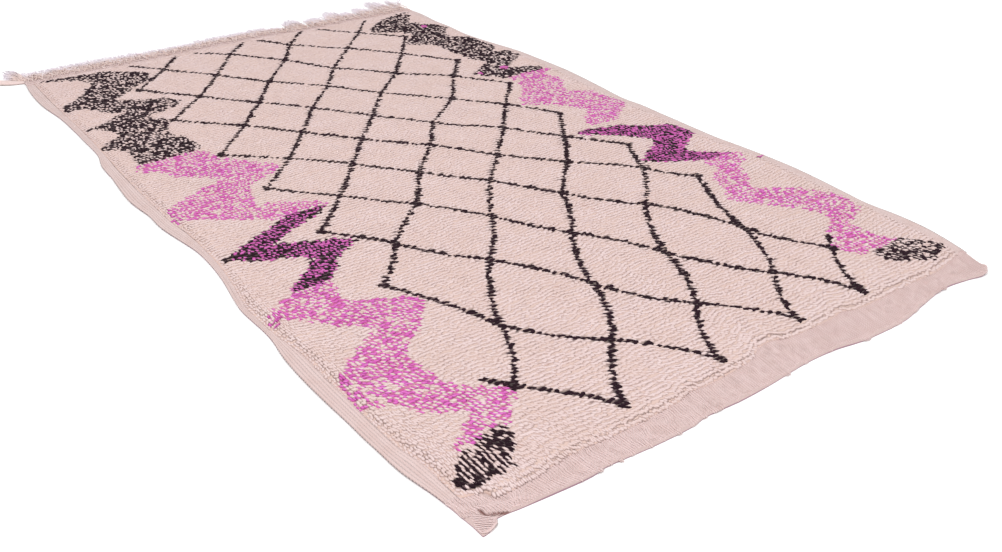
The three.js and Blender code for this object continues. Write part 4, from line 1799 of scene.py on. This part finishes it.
@dataclass
class KnottedPile:
    """The pile: rows of knots, each with a lock of wool that lies over. Lengths in millimetres.

    Attributes:
        side_spread: How much wider a lock is that lies across the rug.
        side_short: How much shorter it is.
        reach_back: How far its root lies behind its knot.
        border_share: How long a lock is at the pile's border, as a share.
        fleck_level: How high a wave of noise stands where flecks may be: locks of tone 0, which get more painted
            shade round them.
    """

    plan: RugPlan
    chart: Chart
    columns: int = 282
    rows: int = 204
    lie: Lie = Lie()
    lock_length: float = 22.0
    lock_width: float = 8.3
    side_spread: float = 0.6
    side_short: float = 0.34
    lock_height: float = 2.9
    sink: float = 1.2
    reach_back: float = 10.5
    border_share: float = 0.78
    border_sink: float = 0.7
    cream_pieces: int = 4
    fleck_level: float = 1.6
    fleck_share: float = 0.4
    row_waves: tuple[float, float] = (1.2, 1.3)
    row_jitter: tuple[float, float] = (0.4, 1.2)
    turn_waves: float = 9.0
    turn_jitter: float = 11.0
    length_jitter: float = 0.08
    width_jitter: float = 0.1
    height_jitter: float = 0.05
    root_jitter: tuple[float, float, float] = (0.5, 1.2, 0.14)
    tone_waves: float = 0.16
    tone_jitter: float = 0.24

    def build(self, effects: WoolEffects) -> list[bpy.types.Object]:
        """Lays the bed, ties every knot and joins the locks of each yarn.

        Args:
            effects: The shared node groups.

        Returns:
            The bed and the pile's pieces, the cream one in several stretches.
        """
        rng = np.random.default_rng(SEED)
        across, along = self.knots(rng)
        yarns = self.chart.yarns(across / CM_TO_MM, along / CM_TO_MM, rng)
        lock = LockModel().build()
        locks = self.locks(across, along, rng)
        pieces = [PileBed(self.plan).build(yarns, effects)]
        for number, yarn in enumerate(Yarn):
            chosen = np.flatnonzero(yarns.reshape(-1) == number)
            parts = self.cream_pieces if yarn is Yarn.CREAM else 1
            material = PILE_FINISHES[yarn].material(effects)
            for part, some in enumerate(np.array_split(chosen, parts), 1):
                name = f"{yarn.value}_pile_{part}" if parts > 1 else f"{yarn.value}_pile"
                copies = stood(lock, *(values[some] for values in locks))
                pieces.append(dress(copies.mesh_object(name), material, PILE_FINISHES[yarn].slot))
        return pieces

    def knots(self, rng: np.random.Generator) -> tuple[np.ndarray, np.ndarray]:
        """Sets out the knots, as uneven as hand work.

        Args:
            rng: The source of chance.

        Returns:
            How far across and along each knot is, row by row.
        """
        grid = (self.rows, self.columns)
        side = (np.arange(self.columns) + 0.5) / self.columns
        end = (np.arange(self.rows) + 0.5) / self.rows
        across, along = self.plan.pile_place(side[None, :], end[:, None])
        (wave_x, wave_y), (step_x, step_y) = self.row_waves, self.row_jitter
        across = across + wave_x * smooth_noise(rng, grid, (10, 6)) + rng.normal(0, step_x, grid)
        along = along + wave_y * smooth_noise(rng, grid, (1, 9)) + rng.normal(0, step_y, grid)
        return across, along

    def locks(self, across: np.ndarray, along: np.ndarray, rng: np.random.Generator) -> tuple[np.ndarray, ...]:
        """Gives every lock its place, direction, size and shade.

        Args:
            across: How far across each knot is.
            along: How far along each knot is.
            rng: The source of chance.

        Returns:
            The locks' roots, headings, sizes, falls, rolls and tones.
        """
        grid = across.shape
        turn = self.lie.read(across, along) + self.turn_waves * smooth_noise(rng, grid, (6, 10))
        heading = math.pi + np.radians(turn + rng.normal(0, self.turn_jitter, grid))
        sideways = np.sin(heading) ** 2
        inside = np.clip(self.plan.in_pile(across, along) / self.plan.shoulder, 0, 1)
        short = (self.border_share + (1 - self.border_share) * inside) * (1 - self.side_short * sideways)
        length = self.lock_length * short * uneven(rng, self.length_jitter, grid)
        width = self.lock_width * (1 + self.side_spread * sideways) * uneven(rng, self.width_jitter, grid)
        height = self.lock_height * uneven(rng, self.height_jitter, grid)
        step_x, step_y, step_z = self.root_jitter
        x = across + self.reach_back * short * np.sin(heading) + rng.normal(0, step_x, grid)
        y = along - self.reach_back * short * np.cos(heading) + rng.normal(0, step_y, grid)
        top = self.plan.bed_top(x, y)
        fall = top - self.plan.bed_top(x - np.sin(heading) * length, y + np.cos(heading) * length)
        middle_x, middle_y = x - np.sin(heading) * length / 2, y + np.cos(heading) * length / 2
        side_x, side_y = np.cos(heading) * width / 2, np.sin(heading) * width / 2
        roll = (self.plan.bed_top(middle_x - side_x, middle_y - side_y)
                - self.plan.bed_top(middle_x + side_x, middle_y + side_y))
        sink = self.sink + self.border_sink * (1 - inside)
        root = self.plan.to_frame(x, y, top - sink + rng.normal(0, step_z, grid)).reshape(-1, 3)
        size = np.stack([width, length, height], axis=-1).reshape(-1, 3) * MM
        tone = 0.5 + self.tone_waves * smooth_noise(rng, grid, (1, 12)) + rng.normal(0, self.tone_jitter, grid)
        tone = np.clip(tone, 0.1, 1)
        # Flecks: locks of tone 0, which their finish gives more painted shade
        tone[(smooth_noise(rng, grid, (2, 4)) > self.fleck_level) & (rng.random(grid) < self.fleck_share)] = 0
        return root, heading.reshape(-1), size, fall.reshape(-1) * MM, roll.reshape(-1) * MM, tone.reshape(-1)


@dataclass
class WarpBand:
    """A flat band at one end: warp yarns side by side, from under the pile to the edge. Lengths in millimetres.

    Attributes:
        pairing: How far the yarns draw together in pairs, as a share of that distance.
        tuck: How far it reaches under the pile.
        ragged: How far the near ends wander together.
        crinkle: How far the yarns sway.
        pucker: How much the yarns' height comes and goes, as a share.
        right_painted_shade: How much painted shade darkens the yarns towards the right.
        last_step: The share of the length at which the last stretch starts.
        slant: How far the yarns' ends lean, for places across.
    """

    plan: RugPlan
    name: str
    end: End
    pitch: float = 3.15
    pairing: float = 0.16
    rings: int = 16
    yarn_width: float = 3.7
    yarn_height: float = 1.45
    sink: float = 0.5
    tuck: float = 9.0
    hem: float = 1.6
    hem_jitter: float = 1.6
    edge_jitter: float = 0.4
    ragged: float = 3.4
    crinkle: float = 2.6
    wave: float = 0.5
    wave_runs: tuple[float, float] = (9.0, 40.0)
    jitter: tuple[float, float] = (0.12, 0.1)
    pucker: float = 0.3
    width_jitter: float = 0.06
    height_jitter: float = 0.08
    right_painted_shade: float = 0.45
    fold_reach: float = 64.0
    last_step: float = 0.94
    end_dip: float = 1.8
    end_thin: float = 0.7
    slant: Profile = Profile(at=(0, 1500), value=(0, 0))

    def build(self, work: YarnWork) -> bpy.types.Object:
        """Lays the band's yarns.

        Args:
            work: The yarn that they are laid with.

        Returns:
            The band as one piece.
        """
        rng = np.random.default_rng(SEED + self.end.value)
        count = round(self.plan.nominal_width / self.pitch)
        paired = np.where(np.arange(count) % 2 == 0, self.pairing, -self.pairing)
        side = (np.arange(count) + 0.5 + paired)[:, None] / count
        nominal = side * self.plan.nominal_width
        share = np.append(np.linspace(0, self.last_step, self.rings), 1)[None, :]
        last = share > 1 - TINY
        start, edge, dip = self.stretch(nominal, rng)
        along = start + (edge - start) * share
        left, right = LEFT_EDGE.read(along), RIGHT_EDGE.read(along)
        (run_y, run_x), (step_x, step_z) = self.wave_runs, self.jitter
        wave = self.wave * np.sin(along / run_y + nominal / run_x) + rng.normal(0, step_x, along.shape)
        free = np.minimum(1, 4 * share * (1.1 - share))
        wave = wave + self.crinkle * smooth_noise(rng, along.shape, (6, 3)) * free
        across = left + (right - left) * side + wave + self.slant.read(nominal) * share ** 3
        height = self.plan.cloth_top(across, along) - self.sink
        height = height - np.where(last, dip, 0) + rng.normal(0, step_z, height.shape)
        width = self.yarn_width * uneven(rng, self.width_jitter, along.shape)
        crown = np.full(along.shape, self.yarn_height) * uneven(rng, self.height_jitter, (count, 1))
        crown = np.where(last, crown * self.end_thin, crown)
        # Painted shade: the tone drops towards the right
        tone = np.clip(rng.normal(0.55, 0.25, count) - self.right_painted_shade * side[:, 0] ** 2, 0, 1)
        crown = crown * (1 + self.pucker * smooth_noise(rng, along.shape, (2, 1)))
        paths = self.plan.to_frame(across, along, np.maximum(height, LOWEST))
        return work.lay(self.name, 3, paths, width, crown, tone, self.plan.crease_shade(across, along))

    def stretch(self, nominal: np.ndarray, rng: np.random.Generator) -> tuple[np.ndarray, np.ndarray, np.ndarray]:
        """Says how far each yarn runs along the rug.

        Args:
            nominal: How far across each yarn is.
            rng: The source of chance.

        Returns:
            Where each yarn starts and ends, and how far its end dips.
        """
        dip = np.full(nominal.shape, self.end_dip)
        if self.end is End.FAR:
            edge = FAR_EDGE.read(nominal)
            start = edge - self.plan.far_band - self.tuck
            return start, edge + rng.normal(0, self.edge_jitter, nominal.shape), dip
        edge = NEAR_EDGE.read(nominal) + self.hem - rng.uniform(0, self.hem_jitter, nominal.shape)
        edge = edge + self.ragged * np.minimum(smooth_noise(rng, edge.shape, (4, 1)), 1.0)
        folded = nominal < self.fold_reach
        edge = np.where(folded, np.maximum(edge, TAB_FOLD.read(nominal) + self.hem), edge)
        return NEAR_PILE.read(nominal) + self.tuck, edge, np.where(folded, -self.end_dip / 2, dip)


def curve_through(first: np.ndarray, middle: np.ndarray, last: np.ndarray, share: np.ndarray) -> np.ndarray:
    """Gives points on the curve through three points, for shares of the way along it."""
    outer = first * (1 - share) * (1 - 2 * share) + last * share * (2 * share - 1)
    return outer + middle * 4 * share * (1 - share)


@dataclass
class CornerTab:
    """The warp yarns of the near left corner, pulled round in arcs below a fold. Lengths in millimetres.

    Attributes:
        starts: Where the first and the last arc start.
        middles: What the first, the middle and the last arc pass through.
        stops: Where the first and the last arc end.
        before: How far the yarns reach past the first arc, as a share of the way between the two.
        after: The same past the last one, counted from the first.
    """

    plan: RugPlan
    starts: Places = ((0.5, 27.0), (-6.2, -7.0))
    middles: Places = ((22.8, 5.3), (18.1, -12.0), (7.0, -21.5))
    stops: Places = ((37.3, -8.7), (24.9, -25.2))
    before: float = -0.06
    after: float = 1.24
    yarns: int = 10
    rings: int = 12
    yarn_width: float = 5.2
    yarn_height: float = 2.4
    sink: float = 0.5
    hem: float = 1.8
    jitter: float = 0.1
    width_jitter: float = 0.06
    height_jitter: float = 0.08
    end_dip: float = 1.5

    def build(self, work: YarnWork) -> bpy.types.Object:
        """Lays the arcs.

        Args:
            work: The yarn that they are laid with.

        Returns:
            The tab's yarns as one piece.
        """
        rng = np.random.default_rng(SEED + 7)
        turn = np.linspace(self.before, self.after, self.yarns)[:, None]
        start, stop = ((1 - turn) * np.array(a) + turn * np.array(b) for a, b in (self.starts, self.stops))
        centre = curve_through(*(np.array(point) for point in self.middles), turn)
        share = np.linspace(0, 1, self.rings + 1)[None, :, None]
        route = curve_through(start[:, None], centre[:, None], stop[:, None], share)
        across = np.maximum(route[..., 0], LEFT_EDGE.read(route[..., 1]) + self.hem)
        along = np.maximum(route[..., 1], NEAR_EDGE.read(across) + self.hem)
        along = along + rng.normal(0, self.jitter, across.shape)
        ends = (share[..., 0] < TINY) | (share[..., 0] > 1 - TINY)
        height = self.plan.cloth_top(across, along) - self.sink - np.where(ends, self.end_dip, 0)
        width = self.yarn_width * uneven(rng, self.width_jitter, across.shape)
        crown = self.yarn_height * uneven(rng, self.height_jitter, across.shape)
        tone = tones(rng, 0.66, 0.25, self.yarns)
        paths = self.plan.to_frame(across, along, np.maximum(height, LOWEST))
        return work.lay("corner_tab_yarns", 3, paths, width, crown, tone, self.plan.crease_shade(across, along))


@dataclass
class Selvedge:
    """The flat woven border of one side: low cords along the edge. Lengths in millimetres.

    Attributes:
        overlap: How far it reaches over the near band.
        tuck: How far the cords reach under the pile.
    """

    plan: RugPlan
    name: str
    side: Side
    cords: int = 6
    rings: int = 150
    cord_height: float = 0.14
    sink: float = 0.05
    overlap: float = 6.0
    far_gap: float = 2.0
    tuck: float = 4.0
    sway: float = 0.35
    swell: float = 0.12

    def build(self, work: YarnWork) -> bpy.types.Object:
        """Lays the cords from the near end to the far end.

        Args:
            work: The yarn that they are laid with.

        Returns:
            The border as one piece.
        """
        rng = np.random.default_rng(SEED + self.side.value)
        number = (np.arange(self.cords) + 0.5)[:, None]
        share = np.linspace(0, 1, self.rings + 1)[None, :]
        right = self.side is Side.RIGHT
        nominal = self.plan.nominal_width if right else 0
        near, far = NEAR_PILE.read(nominal) - self.overlap, FAR_EDGE.read(nominal) - self.far_gap
        along = near + (far - near) * share
        edge, border = (RIGHT_EDGE, RIGHT_PILE) if right else (LEFT_EDGE, LEFT_PILE)
        wide = abs(border.read(along) - edge.read(along)) + self.tuck
        inward = wide * number / self.cords
        across = edge.read(along) - inward if right else edge.read(along) + inward
        across = across + self.sway * smooth_noise(rng, across.shape, (1, 3))
        paths = self.plan.to_frame(across, along, self.plan.cloth_top(across, along) - self.sink)
        crown = self.cord_height * (1 + self.swell * smooth_noise(rng, across.shape, (1, 2)))
        tone = tones(rng, 0.5, 0.25, self.cords)
        return work.lay(self.name, 3, paths, np.broadcast_to(wide / self.cords, across.shape) * 2, crown, tone)


@dataclass(frozen=True)
class Bunch:
    """A bunch of fringe strands that lean as they leave the cloth. Lengths in millimetres.

    Attributes:
        half: Half its width there.
        pull: How much they draw together, as a share of the width.
    """

    centre: float
    half: float
    length: float
    lean: float
    pull: float


BUNCHES = (
    Bunch(38, 34, 86, -3, 0.0), Bunch(106, 34, 84, -3, 0.0), Bunch(175, 35, 84, 2, 0.0),
    Bunch(245, 35, 88, -2, 0.02), Bunch(315, 35, 84, 2, 0.0), Bunch(385, 35, 78, -2, 0.0),
    Bunch(455, 35, 70, -2, 0.0), Bunch(525, 35, 64, -2, 0.0), Bunch(594, 34, 62, 2, 0.0),
    Bunch(662, 34, 74, 3, 0.02), Bunch(730, 34, 74, -2, 0.0), Bunch(799, 35, 74, -2, 0.0),
    Bunch(871, 37, 80, 3, 0.02), Bunch(940, 31, 62, -5, 0.1), Bunch(1016, 43, 120, 12, 0.3),
    Bunch(1101, 40, 98, 10, 0.25), Bunch(1186, 43, 130, 14, 0.32), Bunch(1257, 26, 90, -10, 0.2),
    Bunch(1321, 36, 114, -4, 0.25), Bunch(1400, 40, 150, 0, 0.22), Bunch(1461, 18, 138, 14, 0.1),
    Bunch(1472, 6, 128, 62, 0.6),
)


@dataclass
class Fringe:
    """The loose warp ends at the far end, lying on the floor, and curled ends over them. Lengths in millimetres.

    Attributes:
        rounding: How much shorter a bunch's outer strands are, as a share.
        pulled_rounding: How much more that is for a bunch that is drawn together to a point.
        curl_inside: The least and the greatest reach of a curled end's root over the cloth.
        curl_reach: The same past the cloth's edge, as a share of the strands' length.
        curl_drop: How far past the cloth's edge it comes down to the floor.
    """

    plan: RugPlan
    pitch: float = 2.7
    rings: int = 9
    root_width: float = 3.4
    tip_width: float = 2.2
    start_gap: float = 0.4
    rounding: float = 0.05
    pulled_rounding: float = 0.6
    length_jitter: float = 0.06
    width_jitter: float = 0.08
    sway: tuple[float, float] = (1.2, 3.2)
    sway_run: tuple[float, float] = (38, 62)
    stray: float = 4.0
    rise: float = 3.2
    floor_gap: float = 0.15
    curls: int = 170
    curl_rings: int = 12
    curl_width: float = 3.2
    curl_span: tuple[float, float] = (6, 1476)
    curl_inside: tuple[float, float] = (8, 36)
    curl_reach: tuple[float, float] = (0.35, 0.92)
    curl_run: tuple[float, float] = (25, 45)
    curl_swing: tuple[float, float] = (3, 6)
    curl_slip: tuple[float, float] = (1, 4)
    curl_stray: float = 9.0
    curl_hump: tuple[float, float] = (3, 8)
    curl_wave: float = 1.2
    curl_drop: float = 12.0

    def build(self, work: YarnWork) -> bpy.types.Object:
        """Lays the strands bunch by bunch.

        Args:
            work: The yarn that they are laid with.

        Returns:
            The fringe as one piece.
        """
        rng = np.random.default_rng(SEED + 5)
        share = np.linspace(0, 1, self.rings + 1)
        paths = []
        for bunch in BUNCHES:
            left, right = bunch.centre - bunch.half, bunch.centre + bunch.half
            for root in np.arange(left + self.pitch / 2, right, self.pitch):
                paths.append(self.strand(bunch, root, share, rng))
        width = np.interp(share, (0, 0.2, 1), (self.root_width, self.root_width, self.tip_width))
        width = width * uneven(rng, self.width_jitter, (len(paths), 1))
        tone = tones(rng, 0.55, 0.28, len(paths))
        return work.lay("fringe_yarns", 4, np.array(paths), width, width, tone, stands_for=("far_fringe",))

    def strand(self, bunch: Bunch, root: float, share: np.ndarray, rng: np.random.Generator) -> np.ndarray:
        """Draws the path of one strand.

        Args:
            bunch: The strand's bunch.
            root: Where it leaves the cloth.
            share: Shares of its length.
            rng: The source of chance.

        Returns:
            The points under the strand, in metres.
        """
        off = (root - bunch.centre) / bunch.half
        rounding = self.rounding + self.pulled_rounding * bunch.pull
        length = bunch.length * (1 - rounding * off * off + rng.normal(0, self.length_jitter))
        out = length * share
        drawn = (root - bunch.centre) * (1 - bunch.pull * share)
        sway = rng.uniform(*self.sway) * np.sin(math.tau * (out / rng.uniform(*self.sway_run) + rng.random()))
        stray = rng.normal(0, self.stray) * share ** 2
        across = bunch.centre + drawn + bunch.lean * share ** 2 + sway * np.minimum(1, share * 3) + stray
        over = rng.uniform(0, self.rise) * np.sin(math.pi * np.clip(share * rng.uniform(0.8, 1.4), 0, 1)) ** 2
        start = FAR_EDGE.read(np.array(root)) + self.start_gap
        return self.plan.to_frame(across, start + out, self.floor_gap + over)

    def build_curls(self, work: YarnWork) -> bpy.types.Object:
        """Lays the curled ends that cover the cloth's end and lie over the strands.

        Args:
            work: The yarn that they are laid with.

        Returns:
            The curled ends as one piece.
        """
        rng = np.random.default_rng(SEED + 8)
        share = np.linspace(0, 1, self.curl_rings + 1)[None, :]
        count = (self.curls, 1)
        centres = np.array([bunch.centre for bunch in BUNCHES])
        lengths = np.array([bunch.length for bunch in BUNCHES])
        root = np.linspace(*self.curl_span, self.curls)[:, None] + rng.normal(0, 3, count)
        inside = rng.uniform(*self.curl_inside, count)
        reach = np.interp(root, centres, lengths) * rng.uniform(*self.curl_reach, count)
        out = -inside + (inside + reach) * share
        phase = math.tau * (out / rng.uniform(*self.curl_run, count) + rng.random(count))
        across = root + rng.uniform(*self.curl_swing, count) * np.sin(phase)
        across = across + rng.normal(0, self.curl_stray, count) * share ** 2
        along = FAR_EDGE.read(root) + out + rng.uniform(*self.curl_slip, count) * np.cos(phase)
        ground = self.plan.cloth_thick * np.clip(1 - out / self.curl_drop, 0, 1)
        hump = rng.uniform(*self.curl_hump, count)
        hump = hump * np.sin(math.pi * np.clip(share * rng.uniform(0.9, 1.2, count), 0, 1))
        wave = self.curl_wave * (1 + np.sin(phase + 1.3)) * np.sin(math.pi * share)
        paths = self.plan.to_frame(across, along, 2 * self.floor_gap + ground + np.maximum(hump + wave, 0))
        width = np.interp(share, (0, 0.8, 1), (1, 1, 0.6)) * self.curl_width * uneven(rng, 0.1, count)
        return work.lay("fringe_curls", 4, paths, width, width, tones(rng, 0.45, 0.3, self.curls))


@dataclass
class CornerTail:
    """The tail that leaves the far left corner, and the loose bunch beside it. Lengths in millimetres.

    Attributes:
        route: How far along the tail's middle is, for each distance out to the left.
        girth: Shares of the tail's length, and its size there as a share.
        tips: Where the bunch's yarns end, from the leftmost to the rightmost.
    """

    plan: RugPlan
    route: Profile = Profile(
        at=(0, 10, 24, 38, 52, 66, 80, 94, 106), value=(2651, 2652, 2656, 2664, 2674, 2684, 2692, 2698, 2703))
    root: float = 2.5
    girth: Places = ((0, 0.5), (0.2, 0.65), (0.45, 0.95), (0.94, 1), (1, 0.6))
    lumps: float = 0.03
    width: float = 29.0
    height: float = 14.0
    bend: float = 0.8
    rings: int = 60
    sides: int = 14
    tips: Places = ((-48, 2712), (-44, 2756), (-31, 2806), (-12, 2808), (5, 2796), (15, 2722))
    yarns: int = 42
    root_half: float = 13.0
    root_along: float = 2661.0
    yarn_rings: int = 10
    yarn_widths: tuple[float, float] = (3.4, 2.2)
    turns: tuple[float, float] = (1.2, 2.4)
    rise: float = 10.5
    floor_gap: float = 0.15

    def build_tail(self, work: YarnWork) -> bpy.types.Object:
        """Makes the tail: one smooth roll of wool that thins out at its end.

        Args:
            work: The wool that it is made of.

        Returns:
            The tail as one piece.
        """
        rng = np.random.default_rng(SEED + 9)
        share = np.linspace(0, 1, self.rings + 1)
        out = share * self.route.at[-1]
        lumps = 1 + self.lumps * smooth_noise(rng, (1, len(share)), (1, 7))[0]
        thin = np.interp(share, *zip(*self.girth)) * lumps
        along = self.route.read(out) + self.bend * np.sin(out / 11)
        paths = self.plan.to_frame(self.root - out, along, LOWEST)[None]
        return work.lay("corner_tail", self.sides, paths, thin[None] * self.width, thin[None] * self.height,
                        np.array([0.8]), stands_for=("left_corner_tail",))

    def build_bunch(self, work: YarnWork) -> bpy.types.Object:
        """Lays the loose bunch of yarns beside the tail.

        Args:
            work: The yarn that they are laid with.

        Returns:
            The bunch as one piece.
        """
        rng = np.random.default_rng(SEED + 6)
        share = np.linspace(0, 1, self.yarn_rings + 1)[None, :]
        count = (self.yarns, 1)
        order = np.linspace(0, 1, self.yarns)[:, None]
        tips = np.array(self.tips, float)
        places = np.linspace(0, 1, len(tips))
        reach = rng.uniform(0.82, 1, count)
        root_x, root_y = self.root_half * (2 * order - 1), self.root_along + rng.uniform(0, 4, count)
        tip_x = root_x + (np.interp(order, places, tips[:, 0]) - root_x) * reach
        tip_y = root_y + (np.interp(order, places, tips[:, 1]) - root_y) * reach
        phase = math.tau * (share * rng.uniform(*self.turns, count) + rng.random(count))
        curl = rng.uniform(1, 3, count) * np.sin(phase) * np.minimum(1, share * 4)
        across = root_x + (tip_x - root_x) * share + curl
        along = root_y + (tip_y - root_y) * share + 0.6 * curl
        over = rng.uniform(0, self.rise, count)
        over = over * np.sin(math.pi * np.clip(share * rng.uniform(0.85, 1.1, count), 0, 1))
        paths = self.plan.to_frame(across, along, self.floor_gap + over)
        width = np.interp(share, (0, 1), self.yarn_widths) * uneven(rng, 0.08, count)
        tone = tones(rng, 0.5, 0.28, self.yarns)
        return work.lay("loose_corner_yarns", 4, paths, width, width, tone, stands_for=("left_corner_bunch",))


@dataclass
class LooseTufts:
    """Pink yarns that have worked loose and lie across the borders. Lengths in millimetres.

    Attributes:
        runs: Start and end of each tuft: across and along, twice.
    """

    plan: RugPlan
    runs: tuple[tuple[float, float, float, float], ...] = (
        (24.8, 790.4, -12.1, 775.3), (10.5, 768.3, -8.8, 763.4), (1524.0, 760.0, 1566.0, 773.0))
    yarns_each: int = 3
    apart: float = 1.5
    rings: int = 8
    yarn_width: float = 3.0
    sway: float = 1.5
    over_pile: float = 1.2
    over_cloth: float = 0.6

    def build(self, work: YarnWork) -> bpy.types.Object:
        """Lays the tufts.

        Args:
            work: The yarn that they are laid with.

        Returns:
            The tufts as one piece.
        """
        rng = np.random.default_rng(SEED + 10)
        share = np.linspace(0, 1, self.rings + 1)
        paths = []
        for x0, y0, x1, y1 in self.runs:
            for part in range(self.yarns_each):
                reach = rng.uniform(0.8, 1)
                across = x0 + (x1 - x0) * share * reach
                sway = self.sway * np.sin(math.tau * (share + rng.random()))
                along = y0 + self.apart * (part - 1) + (y1 - y0) * share * reach + sway
                inside = self.plan.in_pile(across, along) > 0
                bed, cloth = self.plan.bed_top(across, along), self.plan.cloth_top(across, along)
                top = np.where(inside, bed + self.over_pile, cloth + self.over_cloth)
                paths.append(self.plan.to_frame(across, along, top))
        width = np.interp(share, (0, 1), (1, 0.5)) * np.full((len(paths), 1), self.yarn_width)
        return work.lay("loose_pink_tufts", 4, np.array(paths), width, width, np.full(len(paths), 0.5))


# The studio


@dataclass
class PhotoCamera:
    """The camera at the photograph's place."""

    azimuth: float = -36.21
    elevation: float = 30.38
    distance: float = 2.685
    target: tuple[float, float, float] = (-0.1915, -0.7006, 0.0)
    lens: float = 40.43
    sensor: float = 36.0
    sight: float = 50.0

    def build(self) -> bpy.types.Object:
        """Sets the camera up.

        Returns:
            The camera.
        """
        turn, rise = math.radians(self.azimuth), math.radians(self.elevation)
        back = Vector((math.sin(turn) * math.cos(rise), -math.cos(turn) * math.cos(rise), math.sin(rise)))
        data = bpy.data.cameras.new("photo_camera")
        data.lens = self.lens
        data.sensor_width = self.sensor
        data.sensor_fit = "HORIZONTAL"
        data.clip_end = self.sight
        camera = bpy.data.objects.new("photo_camera", data)
        camera.location = Vector(self.target) + back * self.distance
        camera.rotation_euler = back.to_track_quat("Z", "Y").to_euler()
        bpy.context.scene.collection.objects.link(camera)
        bpy.context.scene.camera = camera
        return camera


@dataclass(frozen=True)
class SoftBox:
    """A square studio light: its place and size in metres, and its power in watts."""

    name: str
    place: tuple[float, float, float]
    size: float
    power: float


@dataclass
class Studio:
    """A plain pale floor and soft light."""

    floor_size: float = 14.0
    floor_gap: float = 0.0004
    floor_colour: Colour = (0.97, 0.97, 0.97, 1.0)
    floor_roughness: float = 0.9
    sky: float = 0.85
    lights: tuple[SoftBox, ...] = (
        SoftBox("key_light", (-3.2, -2.4, 5.8), 4.0, 240.0),
        SoftBox("fill_light", (5.2, -4.8, 6.4), 6.0, 160.0),
    )

    def build(self) -> None:
        """Lays the floor and hangs the lights."""
        deselect_all()
        bpy.ops.mesh.primitive_plane_add(size=self.floor_size, location=(0, 0, -self.floor_gap))
        floor = bpy.context.object
        floor.name = "studio_floor"
        material, _, shader = new_material("studio_floor_white")
        shader.inputs["Base Color"].default_value = self.floor_colour
        shader.inputs["Roughness"].default_value = self.floor_roughness
        floor.data.materials.append(material)
        world = bpy.data.worlds.new("studio_sky")
        world.use_nodes = True
        sky = world.node_tree.nodes["Background"]
        sky.inputs["Color"].default_value = (1, 1, 1, 1)
        sky.inputs["Strength"].default_value = self.sky
        bpy.context.scene.world = world
        bpy.context.scene.view_settings.view_transform = "Standard"
        for light in self.lights:
            self.hang(light)

    @staticmethod
    def hang(light: SoftBox) -> None:
        """Hangs one light, aimed at the middle of the rug.

        Args:
            light: The light.
        """
        data = bpy.data.lights.new(light.name, "AREA")
        data.size = light.size
        data.energy = light.power
        lamp = bpy.data.objects.new(light.name, data)
        lamp.location = light.place
        lamp.rotation_euler = Vector(light.place).to_track_quat("Z", "Y").to_euler()
        bpy.context.scene.collection.objects.link(lamp)


def main() -> None:
    """Builds the camera, the studio and the rug, piece by piece."""
    logging.basicConfig(level=logging.INFO, format="%(message)s")
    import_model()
    PhotoCamera().build()
    Studio().build()
    plan = RugPlan.in_frame("woven_rug")
    effects = WoolEffects()
    ground = Ground(plan)
    cloth = ground.build(GroundCloth(), effects)
    pile = KnottedPile(plan, Chart()).build(effects)
    band_work, edge_work = YarnWork(BAND_YARN, effects), YarnWork(SELVEDGE_YARN, effects)
    fringe_work, tail_work = YarnWork(FRINGE_YARN, effects), YarnWork(TAIL_WOOL, effects)
    bands = [
        WarpBand(plan, "near_band_yarns", End.NEAR, slant=NEAR_SLANT).build(band_work),
        WarpBand(plan, "far_band_yarns", End.FAR, rings=4).build(band_work),
        CornerTab(plan).build(band_work),
        Selvedge(plan, "left_selvedge_cords", Side.LEFT).build(edge_work),
        Selvedge(plan, "right_selvedge_cords", Side.RIGHT).build(edge_work),
        LooseTufts(plan).build(YarnWork(PILE_FINISHES[Yarn.PINK], effects)),
    ]
    fringe, tail = Fringe(plan), CornerTail(plan)
    ends = [fringe.build(fringe_work), fringe.build_curls(fringe_work), tail.build_tail(tail_work),
            tail.build_bunch(fringe_work)]
    LOG.info("the rug has %d pieces", 1 + len(pile) + len(bands) + len(ends))


if __name__ == "__main__":
    main()
